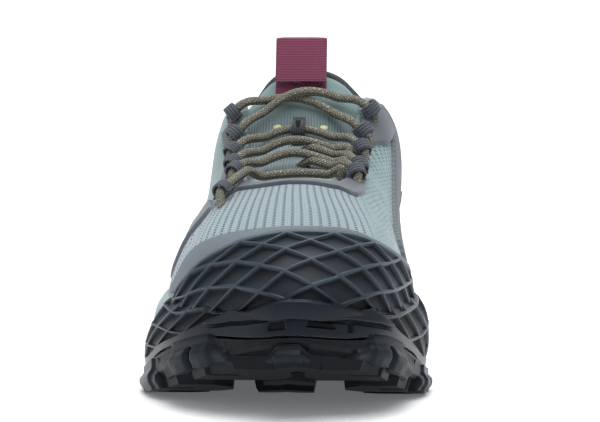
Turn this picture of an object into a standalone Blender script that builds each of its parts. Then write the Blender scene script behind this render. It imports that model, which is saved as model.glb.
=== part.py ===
"""Trail running shoe for a right foot, standing empty on its sole.

Metres, +Z up. The toe points to -Y, the heel to +Y and the medial side to +X.
Every piece is worked out from one skin: a wall that runs round the shoe (in
rows of the section table) and up from the outsole edge over the feather line
to the throat and the collar.
"""

import math
from collections import namedtuple

import bmesh
import bpy
import numpy as np
from mathutils import Matrix

# Driving sizes of the whole shoe
LENGTH = 0.292
BALL_WIDTH = 0.109
SOLE_HEIGHT = 0.049
COLLAR_HEIGHT = 0.104
TOE_SPRING = 0.0225
HEEL_RISE = 0.006

# Sizes of single pieces
LUG_DEPTH = 0.0048
SHEET_BEVEL = 0.0012
SHEET_THICKNESS = 0.003
TOE_WRAP = 0.0050
LEDGE = 0.0040
UPPER_WALL = 0.0022
COLLAR_PADDING = 0.0045
RAND_THICKNESS = 0.0024
RIB_HEIGHT = 0.0013
CELL_FLOOR = 0.66
CHIN_HEIGHT = 0.0010
BAND_THICKNESS = 0.0009
OVERLAY_THICKNESS = 0.0010
COUNTER_THICKNESS = 0.0016
EDGE_THICKNESS = 0.6
GROOVE_UP = 0.50
GROOVE_DEPTH = 0.0015
TONGUE_THICKNESS = 0.0050
TONGUE_RISE = 0.0240
TONGUE_CLEARANCE = 0.0010
INSOLE_THICKNESS = 0.0040
INSOLE_MARGIN = 0.0040
LACE_DIAMETER = 0.0038
WEBBING_THICKNESS = 0.0012
WEBBING_WIDTH = 0.0055
WEBBING_FOOT = 0.0006
LOOP_PLACE = 0.035
TAB_WIDTH = 0.0215
TAB_HEIGHT = 0.0240
KEEPER_WIDTH = 0.0060
KEEPER_FOOT = 0.0020
SLOT_WIDTH = 0.0024
GAP = 0.0003
FACET_ALLOWANCE = 0.0003
RAND_ALLOWANCE = 0.0010

# Where the flat part of the tread starts and ends, as shares of the length
FLAT_FRONT = 0.257
FLAT_BACK = 0.856

Section = namedtuple(
    "Section",
    "name along across inset feather top_along top_across top_up lift flare reach swell drop",
)
# One row for each section round the shoe, from the toe tip over the medial side to
# the heel and back over the lateral side. along and top_along are shares of the
# length, across, inset, top_across, flare and swell of the ball width, feather of the
# sole height, top_up of the collar height, and lift, reach and drop of the distance
# between the feather line and the top edge.
SECTIONS = [
    Section("toe tip", 0.0, 0.046, 0.046, 0.735, 0.342, 0.009, 0.760, 0.60, 0.028, 0.62, 0.0, 0.16),
    Section("toe corner medial", 0.031, 0.248, 0.050, 0.735, 0.346, 0.073, 0.755, 0.60, 0.028, 0.62, 0.0, 0.16),
    Section("big toe", 0.103, 0.376, 0.056, 0.735, 0.363, 0.132, 0.745, 0.55, 0.022, 0.60, 0.0, 0.16),
    Section("first joint", 0.205, 0.445, 0.060, 0.735, 0.397, 0.170, 0.760, 0.52, 0.002, 0.55, 0.000, 0.18),
    Section("ball medial", 0.308, 0.468, 0.064, 0.745, 0.445, 0.184, 0.788, 0.46, -0.014, 0.50, 0.004, 0.20),
    Section("waist medial", 0.425, 0.436, 0.055, 0.796, 0.503, 0.193, 0.841, 0.46, -0.008, 0.50, 0.034, 0.18),
    Section("arch medial", 0.541, 0.376, 0.032, 0.878, 0.562, 0.197, 0.928, 0.50, 0.016, 0.60, 0.092, 0.14),
    Section("ankle front medial", 0.678, 0.339, 0.023, 0.960, 0.651, 0.248, 1.048, 0.45, 0.050, 0.40, 0.118, 0.16),
    Section("ankle medial", 0.815, 0.339, 0.028, 0.980, 0.781, 0.284, 0.846, 0.45, 0.056, 0.30, 0.084, 0.30),
    Section("heel corner medial", 0.938, 0.252, 0.037, 0.980, 0.901, 0.211, 0.894, 0.40, 0.046, 0.30, 0.055, 0.30),
    Section("heel back", 1.0, 0.010, 0.046, 1.0, 0.945, 0.010, 1.0, 0.40, 0.046, 0.30, 0.046, 0.30),
    Section("heel corner lateral", 0.938, -0.252, 0.037, 0.980, 0.901, -0.202, 0.885, 0.40, 0.046, 0.30, 0.055, 0.30),
    Section("ankle lateral", 0.815, -0.362, 0.032, 0.940, 0.781, -0.284, 0.827, 0.45, 0.046, 0.30, 0.064, 0.30),
    Section("ankle front lateral", 0.678, -0.394, 0.037, 0.898, 0.651, -0.257, 1.038, 0.45, 0.028, 0.40, 0.092, 0.16),
    Section("arch lateral", 0.541, -0.450, 0.060, 0.837, 0.562, -0.220, 0.918, 0.42, -0.012, 0.50, 0.050, 0.18),
    Section("waist lateral", 0.425, -0.514, 0.080, 0.776, 0.503, -0.216, 0.832, 0.36, -0.030, 0.48, 0.015, 0.22),
    Section("ball lateral", 0.318, -0.532, 0.084, 0.745, 0.445, -0.206, 0.780, 0.34, -0.028, 0.50, 0.0, 0.26),
    Section("little toe joint", 0.205, -0.468, 0.076, 0.735, 0.397, -0.188, 0.755, 0.40, -0.016, 0.55, 0.0, 0.24),
    Section("little toe", 0.110, -0.349, 0.060, 0.735, 0.363, -0.147, 0.743, 0.50, 0.010, 0.60, 0.0, 0.16),
    Section("toe corner lateral", 0.034, -0.151, 0.050, 0.735, 0.346, -0.050, 0.755, 0.58, 0.025, 0.62, 0.0, 0.16),
]
ROWS = len(SECTIONS)

Foam = namedtuple("Foam", "row bulge shoulder")
# How far the foam wall stands out at its middle and at its shoulder, as shares of the
# ball width, by row on either side
FOAM = [
    Foam(0, 0.0, 0.0),
    Foam(2, 0.0, 0.010),
    Foam(2.6, 0.002, 0.020),
    Foam(3.6, 0.020, 0.056),
    Foam(6, 0.026, 0.052),
    Foam(8, 0.034, 0.050),
    Foam(10, 0.030, 0.040),
]

ToeCover = namedtuple("ToeCover", "row rand band chin")
# How far up the upper the rand and the band over it reach, and how much of the rand's
# height its smooth chin takes up, by row round the toe, lateral rows below zero
TOE_COVER = [
    ToeCover(-4.2, 0.020, 0.050, 0.02),
    ToeCover(-3.3, 0.030, 0.100, 0.02),
    ToeCover(-2.7, 0.085, 0.340, 0.02),
    ToeCover(-2.2, 0.170, 0.430, 0.02),
    ToeCover(-1.7, 0.300, 0.475, 0.08),
    ToeCover(-1.4, 0.355, 0.495, 0.22),
    ToeCover(-1.0, 0.415, 0.510, 0.34),
    ToeCover(0.0, 0.468, 0.528, 0.39),
    ToeCover(0.9, 0.455, 0.515, 0.37),
    ToeCover(1.4, 0.432, 0.490, 0.30),
    ToeCover(1.8, 0.395, 0.450, 0.18),
    ToeCover(2.2, 0.348, 0.400, 0.05),
    ToeCover(3.0, 0.230, 0.280, 0.02),
    ToeCover(3.5, 0.145, 0.205, 0.02),
    ToeCover(4.1, 0.050, 0.120, 0.02),
    ToeCover(4.7, 0.020, 0.060, 0.02),
]
RAND_ENDS_LOW = (-3.95, 4.45)
RAND_ENDS_HIGH = (-2.3, 3.45)
RAND_FOOT = 0.03
LATTICE_COLUMNS = 26
LATTICE_ROWS = 6
CHIN_ROWS = 2
CHIN_FROM_ROW = 1.75

SHARP_ANGLE = 20.0

Colour = namedtuple("Colour", "name rgb roughness")
MESH_KNIT = Colour("knit", (0.30, 0.41, 0.44), 0.85)
PALE_KNIT = Colour("pale knit", (0.38, 0.51, 0.50), 0.85)
GREY_FILM = Colour("grey film", (0.14, 0.15, 0.18), 0.6)
DARK_RUBBER = Colour("dark rubber", (0.03, 0.042, 0.052), 0.45)
FOAM_MINT = Colour("mint foam", (0.52, 0.62, 0.58), 0.7)
LACE_CORD = Colour("lace cord", (0.24, 0.215, 0.175), 0.9)
WINE_WEBBING = Colour("wine webbing", (0.30, 0.03, 0.11), 0.8)
GREY_WEBBING = Colour("grey webbing", (0.16, 0.16, 0.18), 0.8)
INSOLE_GREY = Colour("insole grey", (0.10, 0.11, 0.12), 0.9)


def smooth_step(low, high, value):
    """0 below low, 1 above high, and a smooth S between them."""
    share = np.clip((np.asarray(value, float) - low) / (high - low), 0.0, 1.0)
    return share * share * (3.0 - 2.0 * share)


def unit(vectors):
    """Vectors made one long."""
    return vectors / np.maximum(np.linalg.norm(vectors, axis=-1, keepdims=True), 1e-12)


class Ring:
    """A closed smooth curve through values at the whole numbers, a cubic spline that repeats."""

    def __init__(self, values):
        self.values = np.asarray(values, float)
        self.count = len(self.values)
        one = np.eye(self.count)
        system = 4.0 * one + np.roll(one, 1, axis=1) + np.roll(one, -1, axis=1)
        around = np.roll(self.values, -1, axis=0) + np.roll(self.values, 1, axis=0)
        self.bend = np.linalg.solve(system, 6.0 * (around - 2.0 * self.values))

    def __call__(self, row):
        row = np.asarray(row, float)
        start = np.floor(row).astype(int)
        t = (row - start)[..., None]
        low, high = start % self.count, (start + 1) % self.count
        straight = (1 - t) * self.values[low] + t * self.values[high]
        bent = ((1 - t) ** 3 - (1 - t)) * self.bend[low] + (t**3 - t) * self.bend[high]
        return straight + bent / 6.0


def slopes_through(at, values):
    """Slopes at the points of a table that let a cubic pass them without overshoot."""
    step = np.diff(at)
    rise = np.diff(values, axis=0) / step[:, None]
    slopes = np.zeros_like(values)
    same_way = rise[:-1] * rise[1:] > 0
    weighted = 2.0 * rise[:-1] * rise[1:] / np.where(same_way, rise[:-1] + rise[1:], 1.0)
    slopes[1:-1] = np.where(same_way, weighted, 0.0)
    slopes[0], slopes[-1] = rise[0], rise[-1]
    return slopes


def through(table, row):
    """The columns of a short table after its first, at the given rows, smoothly joined."""
    table = np.array([entry[:] for entry in table], float)
    at, values = table[:, 0], table[:, 1:]
    slopes = slopes_through(at, values)
    row = np.clip(np.asarray(row, float), at[0], at[-1])
    k = np.clip(np.searchsorted(at, row, side="right") - 1, 0, len(at) - 2)
    width = (at[k + 1] - at[k])[..., None]
    t = (row - at[k])[..., None] / width
    return (
        (2 * t**3 - 3 * t**2 + 1) * values[k]
        + (t**3 - 2 * t**2 + t) * width * slopes[k]
        + (3 * t**2 - 2 * t**3) * values[k + 1]
        + (t**3 - t**2) * width * slopes[k + 1]
    )


SHAPE = Ring([section[1:] for section in SECTIONS])


def edge(row):
    """The outsole's outline in plan, an x, y pair for each row."""
    columns = SHAPE(row)
    return np.stack([columns[..., 1] * BALL_WIDTH, columns[..., 0] * LENGTH], axis=-1)


def outward(row):
    """The level direction that points out of the shoe at each row."""
    along = unit(edge(np.asarray(row) + 0.05) - edge(np.asarray(row) - 0.05))
    return np.stack([along[..., 1], -along[..., 0], np.zeros_like(along[..., 0])], axis=-1)


def tread_height(y):
    """The height of the lugs' lowest faces: flat, with a sprung toe and a rising heel."""
    toe = np.clip(FLAT_FRONT - y / LENGTH, 0.0, None) / FLAT_FRONT
    heel = np.clip(y / LENGTH - FLAT_BACK, 0.0, None) / (1.0 - FLAT_BACK)
    return TOE_SPRING * toe**1.35 + HEEL_RISE * heel**1.6


def sheet_top(y):
    """The height of the outsole's upper edge, drawn up beside the toe."""
    share = y / LENGTH
    wrap = TOE_WRAP * smooth_step(0.0, 0.08, share) * (1.0 - smooth_step(0.15, 0.33, share))
    return tread_height(y) + LUG_DEPTH + SHEET_THICKNESS + wrap


def lift_to(points, height):
    """An x, y array given the height of a function of y."""
    return np.concatenate([points, height(points[..., 1:2])], axis=-1)


def foam_foot(row):
    """The lower edge of the foam wall, on top of the outsole and inside its ledge."""
    foot = lift_to(edge(row), lambda y: sheet_top(y) + GAP)
    return foot - outward(row) * LEDGE


def feather(row):
    """The line where the upper meets the sole."""
    columns = SHAPE(row)
    place = np.concatenate([edge(row), (columns[..., 3] * SOLE_HEIGHT)[..., None]], axis=-1)
    return place - outward(row) * (columns[..., 2] * BALL_WIDTH)[..., None]


def top_edge(row):
    """The edge of the throat and the collar."""
    columns = SHAPE(row)
    return np.stack(
        [columns[..., 5] * BALL_WIDTH, columns[..., 4] * LENGTH, columns[..., 6] * COLLAR_HEIGHT],
        axis=-1,
    )


def bezier(a, b, c, d, t):
    """A cubic curve from a to d, pulled towards b and c."""
    t = np.asarray(t, float)[..., None]
    return (1 - t) ** 3 * a + 3 * (1 - t) ** 2 * t * b + 3 * (1 - t) * t**2 * c + t**3 * d


def foam_wall(row, up):
    """The foam's side, from its foot (up 0) out over its shoulder to the feather line (up 1)."""
    side = np.minimum(np.mod(row, ROWS), ROWS - np.mod(row, ROWS))
    bulge, shoulder = np.moveaxis(through(FOAM, side) * BALL_WIDTH, -1, 0)
    foot, top, out = foam_foot(row), feather(row), outward(row)
    height = (top - foot)[..., 2:3] * np.array([0.0, 0.0, 1.0])
    low = foot + out * bulge[..., None] + 0.4 * height
    high = top + out * shoulder[..., None] - 0.10 * height
    return bezier(foot, low, high, top, up)


def upper_wall(row, up):
    """The upper's outside, from the feather line (up 0) to the throat or collar edge (up 1)."""
    columns = SHAPE(row)
    lift, reach, drop = (columns[..., k][..., None] for k in (7, 9, 11))
    flare, swell = (columns[..., k][..., None] * BALL_WIDTH for k in (8, 10))
    foot, top, out = feather(row), top_edge(row), outward(row)
    level, rise = (top - foot) * [1.0, 1.0, 0.0], (top - foot) * [0.0, 0.0, 1.0]
    low = foot + out * flare + rise * lift
    high = top - level * reach + out * swell - rise * drop
    return bezier(foot, low, high, top, up)


def wall(row, up):
    """Foam and upper as one skin: up runs from 0 at the foam's foot over 1 to 2 at the top."""
    row, up = np.broadcast_arrays(np.asarray(row, float), np.asarray(up, float))
    low = foam_wall(row, np.clip(up, 0.0, 1.0))
    high = upper_wall(row, np.clip(up - 1.0, 0.0, 1.0))
    return np.where((up < 1.0)[..., None], low, high)


def wall_normal(row, up):
    """The direction out of the skin, from its slopes along both of its parameters."""
    row, up = np.broadcast_arrays(np.asarray(row, float), np.asarray(up, float))
    low, high = np.clip(up - 0.02, 0.0, 1.98), np.clip(up + 0.02, 0.02, 2.0)
    along = wall(row + 0.04, up) - wall(row - 0.04, up)
    upward = wall(row, high) - wall(row, low)
    return unit(np.cross(along, upward))


def off_wall(row, up, distance):
    """A point at a distance out from the skin."""
    return wall(row, up) + wall_normal(row, up) * np.asarray(distance, float)[..., None]


def upper_thickness(row, up):
    """The upper's wall: thin, with padding round the collar."""
    side = np.minimum(np.mod(row, ROWS), ROWS - np.mod(row, ROWS))
    padded = smooth_step(6.2, 7.6, side) * smooth_step(1.45, 1.8, up)
    rounded = 1.0 - 0.55 * smooth_step(1.9, 2.0, up)
    return UPPER_WALL + COLLAR_PADDING * padded * rounded


def material(colour):
    """One Principled material for each colour."""
    found = bpy.data.materials.get(colour.name)
    if found:
        return found
    made = bpy.data.materials.new(colour.name)
    made.use_nodes = True
    shader = made.node_tree.nodes["Principled BSDF"]
    shader.inputs["Base Color"].default_value = (*colour.rgb, 1.0)
    shader.inputs["Roughness"].default_value = colour.roughness
    shader.inputs["Metallic"].default_value = 0.0
    made.diffuse_color = (*colour.rgb, 1.0)
    return made


def add_piece(name, points, faces, colour):
    """A named object from points and faces, with its faces turned outwards."""
    mesh = bpy.data.meshes.new(name)
    points = np.asarray(points, float).reshape(-1, 3)
    mesh.from_pydata(points.tolist(), [], [list(map(int, face)) for face in faces])
    turn = bmesh.new()
    turn.from_mesh(mesh)
    bmesh.ops.recalc_face_normals(turn, faces=turn.faces)
    turn.to_mesh(mesh)
    turn.free()
    mesh.shade_smooth()
    mesh.set_sharp_from_angle(angle=math.radians(SHARP_ANGLE))
    mesh.materials.append(material(colour))
    piece = bpy.data.objects.new(name, mesh)
    bpy.context.collection.objects.link(piece)
    return piece


def grid_faces(rows, columns, start=0, closed=False):
    """Quads of a grid of points stored row by row; closed joins the last column to the first."""
    faces = []
    for i in range(rows - 1):
        for j in range(columns if closed else columns - 1):
            k = (j + 1) % columns
            a, b = start + i * columns, start + (i + 1) * columns
            faces.append((a + j, a + k, b + k, b + j))
    return faces


def slab(outer, inner):
    """Points and faces of a closed body between two grids of the same size."""
    rows, columns = outer.shape[:2]
    count = rows * columns
    points = np.concatenate([outer.reshape(-1, 3), inner.reshape(-1, 3)])
    faces = grid_faces(rows, columns)
    faces += [tuple(reversed(face)) for face in grid_faces(rows, columns, count)]
    rim = [j for j in range(columns)]
    rim += [i * columns + columns - 1 for i in range(1, rows)]
    rim += [(rows - 1) * columns + j for j in range(columns - 2, -1, -1)]
    rim += [i * columns for i in range(rows - 2, 0, -1)]
    for a, b in zip(rim, rim[1:] + rim[:1]):
        faces.append((b, a, a + count, b + count))
    return points, faces


def ladder(first, count):
    """Rungs across a closed ring of points, between those on its two sides, as quads."""
    half = count // 2
    faces = [(first, first + 1, first + count - 1)]
    for i in range(1, half - 1):
        faces.append((first + i, first + i + 1, first + count - i - 1, first + count - i))
    faces.append((first + half - 1, first + half, first + half + 1))
    return faces


def closed_loft(rings):
    """A closed body through rings of points, its first and last ring filled with rungs."""
    rings = np.asarray(rings)
    layers, count = rings.shape[:2]
    faces = grid_faces(layers, count, closed=True)
    faces += ladder(0, count) + ladder((layers - 1) * count, count)
    return rings.reshape(-1, 3), faces


def around(count):
    """Row values spread evenly round the shoe."""
    return np.arange(count) * (ROWS / count)


def outline_x(y, side):
    """Where the outsole's edge lies at a place along the shoe: side 1 medial, -1 lateral."""
    rows = np.linspace(0.0, 10.0, 161) if side > 0 else np.linspace(20.0, 10.0, 161)
    line = edge(rows)
    return float(np.interp(y, line[:, 1], line[:, 0]))


def prism(low, high):
    """A lug between an outline on the tread's lowest face and one inside the sheet."""
    count = len(low)
    faces = [tuple(range(count)), tuple(reversed(range(count, 2 * count)))]
    faces += [(k, (k + 1) % count, (k + 1) % count + count, k + count) for k in range(count)]
    return np.concatenate([low, high]), faces


Lug = namedtuple("Lug", "along length width")
# Lugs along each edge and down the middle, from the toe: where they lie, as shares of
# the length, and how long and wide they are, as shares of the ball width
EDGE_LUGS = [
    Lug(0.075, 0.155, 0.190),
    Lug(0.170, 0.160, 0.185),
    Lug(0.270, 0.165, 0.180),
    Lug(0.372, 0.165, 0.165),
    Lug(0.478, 0.150, 0.130),
    Lug(0.640, 0.150, 0.125),
    Lug(0.735, 0.155, 0.165),
    Lug(0.830, 0.155, 0.170),
    Lug(0.918, 0.140, 0.155),
]
MIDDLE_LUGS = [
    Lug(0.046, 0.085, 0.150),
    Lug(0.122, 0.100, 0.170),
    Lug(0.205, 0.110, 0.190),
    Lug(0.290, 0.110, 0.200),
    Lug(0.375, 0.110, 0.190),
    Lug(0.455, 0.100, 0.160),
    Lug(0.770, 0.090, 0.110),
    Lug(0.850, 0.090, 0.110),
]
LUG_INSET = 0.0030
LUG_OVERHANG = 0.0006
LUG_SHOULDER = 0.0012
LUG_DRAFT = 1.12
SLOT_DEPTH = 0.45


def edge_lug(lug, side):
    """A lug whose outer face slopes out to the sheet's edge, with a slot in that face."""
    y, long, wide = lug.along * LENGTH, lug.length * BALL_WIDTH, lug.width * BALL_WIDTH
    ys = [y - long / 2, y - SLOT_WIDTH / 2, y + SLOT_WIDTH / 2, y + long / 2]
    edges = [outline_x(value, side) for value in ys]
    inner = min(edges, key=abs) - side * (LUG_INSET + wide)
    outlines = []
    for outset, grow in ((-LUG_INSET, 0.0), (LUG_OVERHANG, LUG_DRAFT - 1.0)):
        outer = [x + side * outset for x in edges]
        front, rear = ys[0] - 0.5 * long * grow, ys[3] + 0.5 * long * grow
        slot = edges[1] - side * (LUG_INSET + wide * SLOT_DEPTH)
        back = inner - side * 0.5 * wide * grow
        outlines.append(
            [
                (outer[0] - side * 0.001, front),
                (outer[1], ys[1]),
                (slot, ys[1]),
                (slot, ys[2]),
                (outer[2], ys[2]),
                (outer[3] - side * 0.001, rear),
                (back + side * wide * 0.30, rear),
                (back, y + long * 0.18),
                (back, y - long * 0.18),
                (back + side * wide * 0.30, front),
            ]
        )
    low = lift_to(np.array(outlines[0]), tread_height)
    return prism(low, lift_to(np.array(outlines[1]), lambda y: sheet_top(y) - LUG_SHOULDER))


# The outline of a middle lug, as shares of its width and length
ARROW = [
    (0.0, -0.5),
    (0.5, -0.1),
    (0.5, 0.5),
    (0.22, 0.5),
    (0.0, 0.2),
    (-0.22, 0.5),
    (-0.5, 0.5),
    (-0.5, -0.1),
]


def middle_lug(lug):
    """An arrow that points to the toe, between the edge lugs."""
    y, size = lug.along * LENGTH, np.array([lug.width, lug.length]) * BALL_WIDTH
    middle = np.array([0.5 * (outline_x(y, 1) + outline_x(y, -1)), y])
    low, high = middle + np.array(ARROW) * size, middle + np.array(ARROW) * size * LUG_DRAFT
    root = LUG_DEPTH + 0.5 * SHEET_THICKNESS
    return prism(lift_to(low, tread_height), lift_to(high, lambda y: tread_height(y) + root))


def joined(parts):
    """Points and faces of several bodies in one list each."""
    points, faces, start = [], [], 0
    for more, new in parts:
        points.append(more)
        faces += [tuple(start + k for k in face) for face in new]
        start += len(more)
    return np.concatenate(points), faces


def merge_into(piece, cutter_name, points, faces, operation="UNION"):
    """Unite or cut a piece with other bodies by a Boolean modifier."""
    cutter = add_piece(cutter_name, points, faces, DARK_RUBBER)
    cutter.hide_render = True
    cutter.display_type = "WIRE"
    modifier = piece.modifiers.new(cutter_name, "BOOLEAN")
    modifier.operation = operation
    modifier.solver = "EXACT"
    modifier.use_self = True
    modifier.object = cutter


def add_outsole():
    """The rubber sheet under the foam, with its lugs."""
    rows = around(72)
    line = edge(rows)
    low = lift_to(line - outward(rows)[:, :2] * SHEET_BEVEL, lambda y: tread_height(y) + LUG_DEPTH)
    belly = lift_to(line, lambda y: tread_height(y) + LUG_DEPTH + SHEET_BEVEL)
    high = lift_to(line, sheet_top)
    outsole = add_piece("outsole", *closed_loft([low, belly, high]), DARK_RUBBER)
    lugs = [edge_lug(lug, side) for lug in EDGE_LUGS for side in (1, -1)]
    lugs += [middle_lug(lug) for lug in MIDDLE_LUGS]
    merge_into(outsole, "lug_bodies", *joined(lugs))


def add_midsole():
    """The foam, from the outsole to the feather line, with a groove along its side."""
    rows = around(68)
    ups = (0.0, 0.20, GROOVE_UP - 0.04, GROOVE_UP, GROOVE_UP + 0.04, 0.80, 0.92, 1.0)
    rings = [foam_wall(rows, np.full_like(rows, up)) for up in ups]
    rings[3] = rings[3] - outward(rows) * GROOVE_DEPTH
    add_piece("midsole", *closed_loft(rings), FOAM_MINT)


def add_upper():
    """The hollow upper, open underneath, at the throat and at the collar."""
    rows = around(68)
    ups = 1.0 + np.array([0.0, 0.1, 0.22, 0.36, 0.5, 0.64, 0.78, 0.9, 1.0])
    row_grid, up_grid = np.meshgrid(rows, ups)
    lift = np.array([0.0, 0.0, GAP])
    outer = wall(row_grid, up_grid) + lift
    inner = off_wall(row_grid, up_grid, -upper_thickness(row_grid, up_grid)) + lift
    inner[0, :, 2] = outer[0, :, 2]
    count, layers = len(rows), len(ups)
    points = np.concatenate([outer.reshape(-1, 3), inner.reshape(-1, 3)])
    start = count * layers
    faces = grid_faces(layers, count, closed=True) + grid_faces(layers, count, start, closed=True)
    for j in range(count):
        k = (j + 1) % count
        faces.append((j, k, start + k, start + j))
        top = (layers - 1) * count
        faces.append((top + j, top + k, start + top + k, start + top + j))
    add_piece("upper", points, faces, MESH_KNIT)


def patch(name, row_grid, up_grid, thickness, colour, clearance=GAP + FACET_ALLOWANCE):
    """An overlay that follows the skin, from grids of rows and heights."""
    thickness = np.broadcast_to(np.asarray(thickness, float), row_grid.shape)
    inner = off_wall(row_grid, up_grid, np.full(row_grid.shape, clearance))
    outer = off_wall(row_grid, up_grid, clearance + thickness)
    lift = np.array([0.0, 0.0, GAP])
    add_piece(name, *slab(outer + lift, inner + lift), colour)


def toe_cover(row):
    """Rand top and band top as heights up the wall, and the chin's share, at rows round the toe."""
    columns = through(TOE_COVER, row)
    return 1.0 + columns[..., 0], 1.0 + columns[..., 1], columns[..., 2]


def spread_up(row, low, high, share):
    """Heights between low and high on the skin, at shares of the way measured along it."""
    part = np.linspace(0.0, 1.0, 41)
    ups = low[..., None] + (high - low)[..., None] * part
    line = wall(row[..., None], ups)
    way = np.cumsum(np.linalg.norm(np.diff(line, axis=-2), axis=-1), axis=-1)
    way = np.concatenate([0.0 * way[..., :1], way / way[..., -1:]], axis=-1)
    k = np.clip((way < share[..., None]).sum(axis=-1), 1, len(part) - 1)[..., None]
    before, after = np.take_along_axis(way, k - 1, -1)[..., 0], np.take_along_axis(way, k, -1)[..., 0]
    within = np.clip((share - before) / (after - before), 0.0, 1.0)
    return low + (high - low) * (k[..., 0] - 1 + within) * (part[1] - part[0])


def rand_grid():
    """Rows, heights and steps up from the foot, on the grid that the rand is made on."""
    layers, columns = CHIN_ROWS + LATTICE_ROWS + 1, LATTICE_COLUMNS + 1
    step, column = np.meshgrid(np.arange(layers), np.arange(columns), indexing="ij")
    high, across = step / (layers - 1), column / (columns - 1)
    first = RAND_ENDS_LOW[0] + (RAND_ENDS_HIGH[0] - RAND_ENDS_LOW[0]) * high
    last = RAND_ENDS_LOW[1] + (RAND_ENDS_HIGH[1] - RAND_ENDS_LOW[1]) * high
    rows = first + (last - first) * across
    rand_top, _, chin = toe_cover(rows)
    chin_part = np.clip(step / CHIN_ROWS, 0.0, 1.0)
    lattice_part = np.clip((step - CHIN_ROWS) / LATTICE_ROWS, 0.0, 1.0)
    share = chin * chin_part + (1.0 - chin) * lattice_part
    return rows, spread_up(rows, np.full(rows.shape, RAND_FOOT), rand_top, share), step


def add_toe_rand():
    """The rubber round the toe: a smooth chin, and above it crossing ribs round sunk cells."""
    rows, ups, step = rand_grid()
    layers, columns = rows.shape
    clearance = GAP + RAND_ALLOWANCE
    on_chin = (step > 0) & (step < CHIN_ROWS) & (np.abs(rows) < CHIN_FROM_ROW)
    thickness = RAND_THICKNESS + np.where(on_chin, CHIN_HEIGHT, 0.0)
    inner = off_wall(rows, ups, np.full(rows.shape, clearance))
    outer = off_wall(rows, ups, clearance + thickness)
    points, faces = slab(outer, inner)
    kept = [face for number, face in enumerate(faces) if number >= (layers - 1) * (columns - 1)]
    top, start = [], len(points)
    floors = []
    for i in range(layers - 1):
        for j in range(columns - 1):
            a, b = i * columns + j, (i + 1) * columns + j
            crossing_first = (i + j) % 2 == 0
            top += [(a, a + 1, b + 1), (a, b + 1, b)] if crossing_first else [(a, a + 1, b), (a + 1, b + 1, b)]
    cells = [
        (i, j)
        for i in range(CHIN_ROWS + 1, layers - 1)
        for j in range(1, columns - 1)
        if (i + j) % 2 == 1
    ]
    for i, j in cells:
        middle = i * columns + j
        around_cell = [middle - columns, middle + 1, middle + columns, middle - 1]
        top = [face for face in top if middle not in face]
        row, up = rows[i, j], ups[i, j]
        corner_rows = row + CELL_FLOOR * (rows.flat[around_cell] - row)
        corner_ups = up + CELL_FLOOR * (ups.flat[around_cell] - up)
        depth = np.full(4, clearance + RAND_THICKNESS - RIB_HEIGHT)
        floors.append(off_wall(corner_rows, corner_ups, depth))
        first = start + 4 * (len(floors) - 1)
        top.append(tuple(first + k for k in range(4)))
        top += [(around_cell[k], around_cell[(k + 1) % 4], first + (k + 1) % 4, first + k) for k in range(4)]
    points = np.concatenate([points] + floors) + np.array([0.0, 0.0, GAP])
    used = sorted({k for face in top + kept for k in face})
    new = {k: n for n, k in enumerate(used)}
    faces = [tuple(new[k] for k in face) for face in top + kept]
    add_piece("toe_rand", points[used], faces, DARK_RUBBER)


def add_toe_band():
    """The fused grey film between the rand and the knit."""
    high = np.linspace(0.0, 1.0, 3)[:, None]
    row_grid = np.linspace(-3.3, 3.65, 31)[None, :] + 0.0 * high
    rand_top, band_top, _ = toe_cover(row_grid)
    start = rand_top + 0.012
    patch("toe_band", row_grid, start + (np.maximum(band_top, start + 0.01) - start) * high, BAND_THICKNESS, GREY_FILM)


Strip = namedtuple("Strip", "row low high")
# The eyestays: which rows they span, and how far up the upper they start and end
MEDIAL_EYESTAY = [
    Strip(0.5, 0.960, 0.985),
    Strip(1.9, 0.930, 0.985),
    Strip(2.6, 0.800, 0.985),
    Strip(3.2, 0.790, 0.985),
    Strip(4.2, 0.835, 0.985),
    Strip(5.0, 0.835, 0.985),
    Strip(5.9, 0.840, 0.985),
    Strip(6.45, 0.750, 0.985),
]
LATERAL_EYESTAY = [
    Strip(0.2, 0.960, 0.985),
    Strip(1.2, 0.950, 0.985),
    Strip(2.4, 0.900, 0.985),
    Strip(3.3, 0.720, 0.985),
    Strip(4.3, 0.720, 0.985),
    Strip(4.7, 0.780, 0.985),
    Strip(5.4, 0.790, 0.985),
    Strip(6.45, 0.740, 0.985),
]
# The lateral strap from the eyestay down to the sole: its front and rear rows, from its
# upper end (0) to its lower one (1)
STRAP_FRONT = (3.45, 4.5)
STRAP_REAR = (4.2, 5.35)
STRAP_FOOT = 0.035
# The medial saddle and the heel counter, by row
SADDLE = [
    Strip(3.8, 0.04, 0.36),
    Strip(4.6, 0.04, 0.41),
    Strip(5.4, 0.04, 0.47),
    Strip(6.0, 0.04, 0.56),
    Strip(6.5, 0.04, 0.66),
    Strip(6.75, 0.04, 0.92),
    Strip(7.3, 0.04, 0.90),
    Strip(7.85, 0.04, 0.80),
]
COUNTER = [
    Strip(7.95, 0.03, 0.42),
    Strip(9.0, 0.03, 0.50),
    Strip(10.0, 0.03, 0.56),
    Strip(11.0, 0.03, 0.50),
    Strip(12.2, 0.03, 0.40),
]


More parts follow.
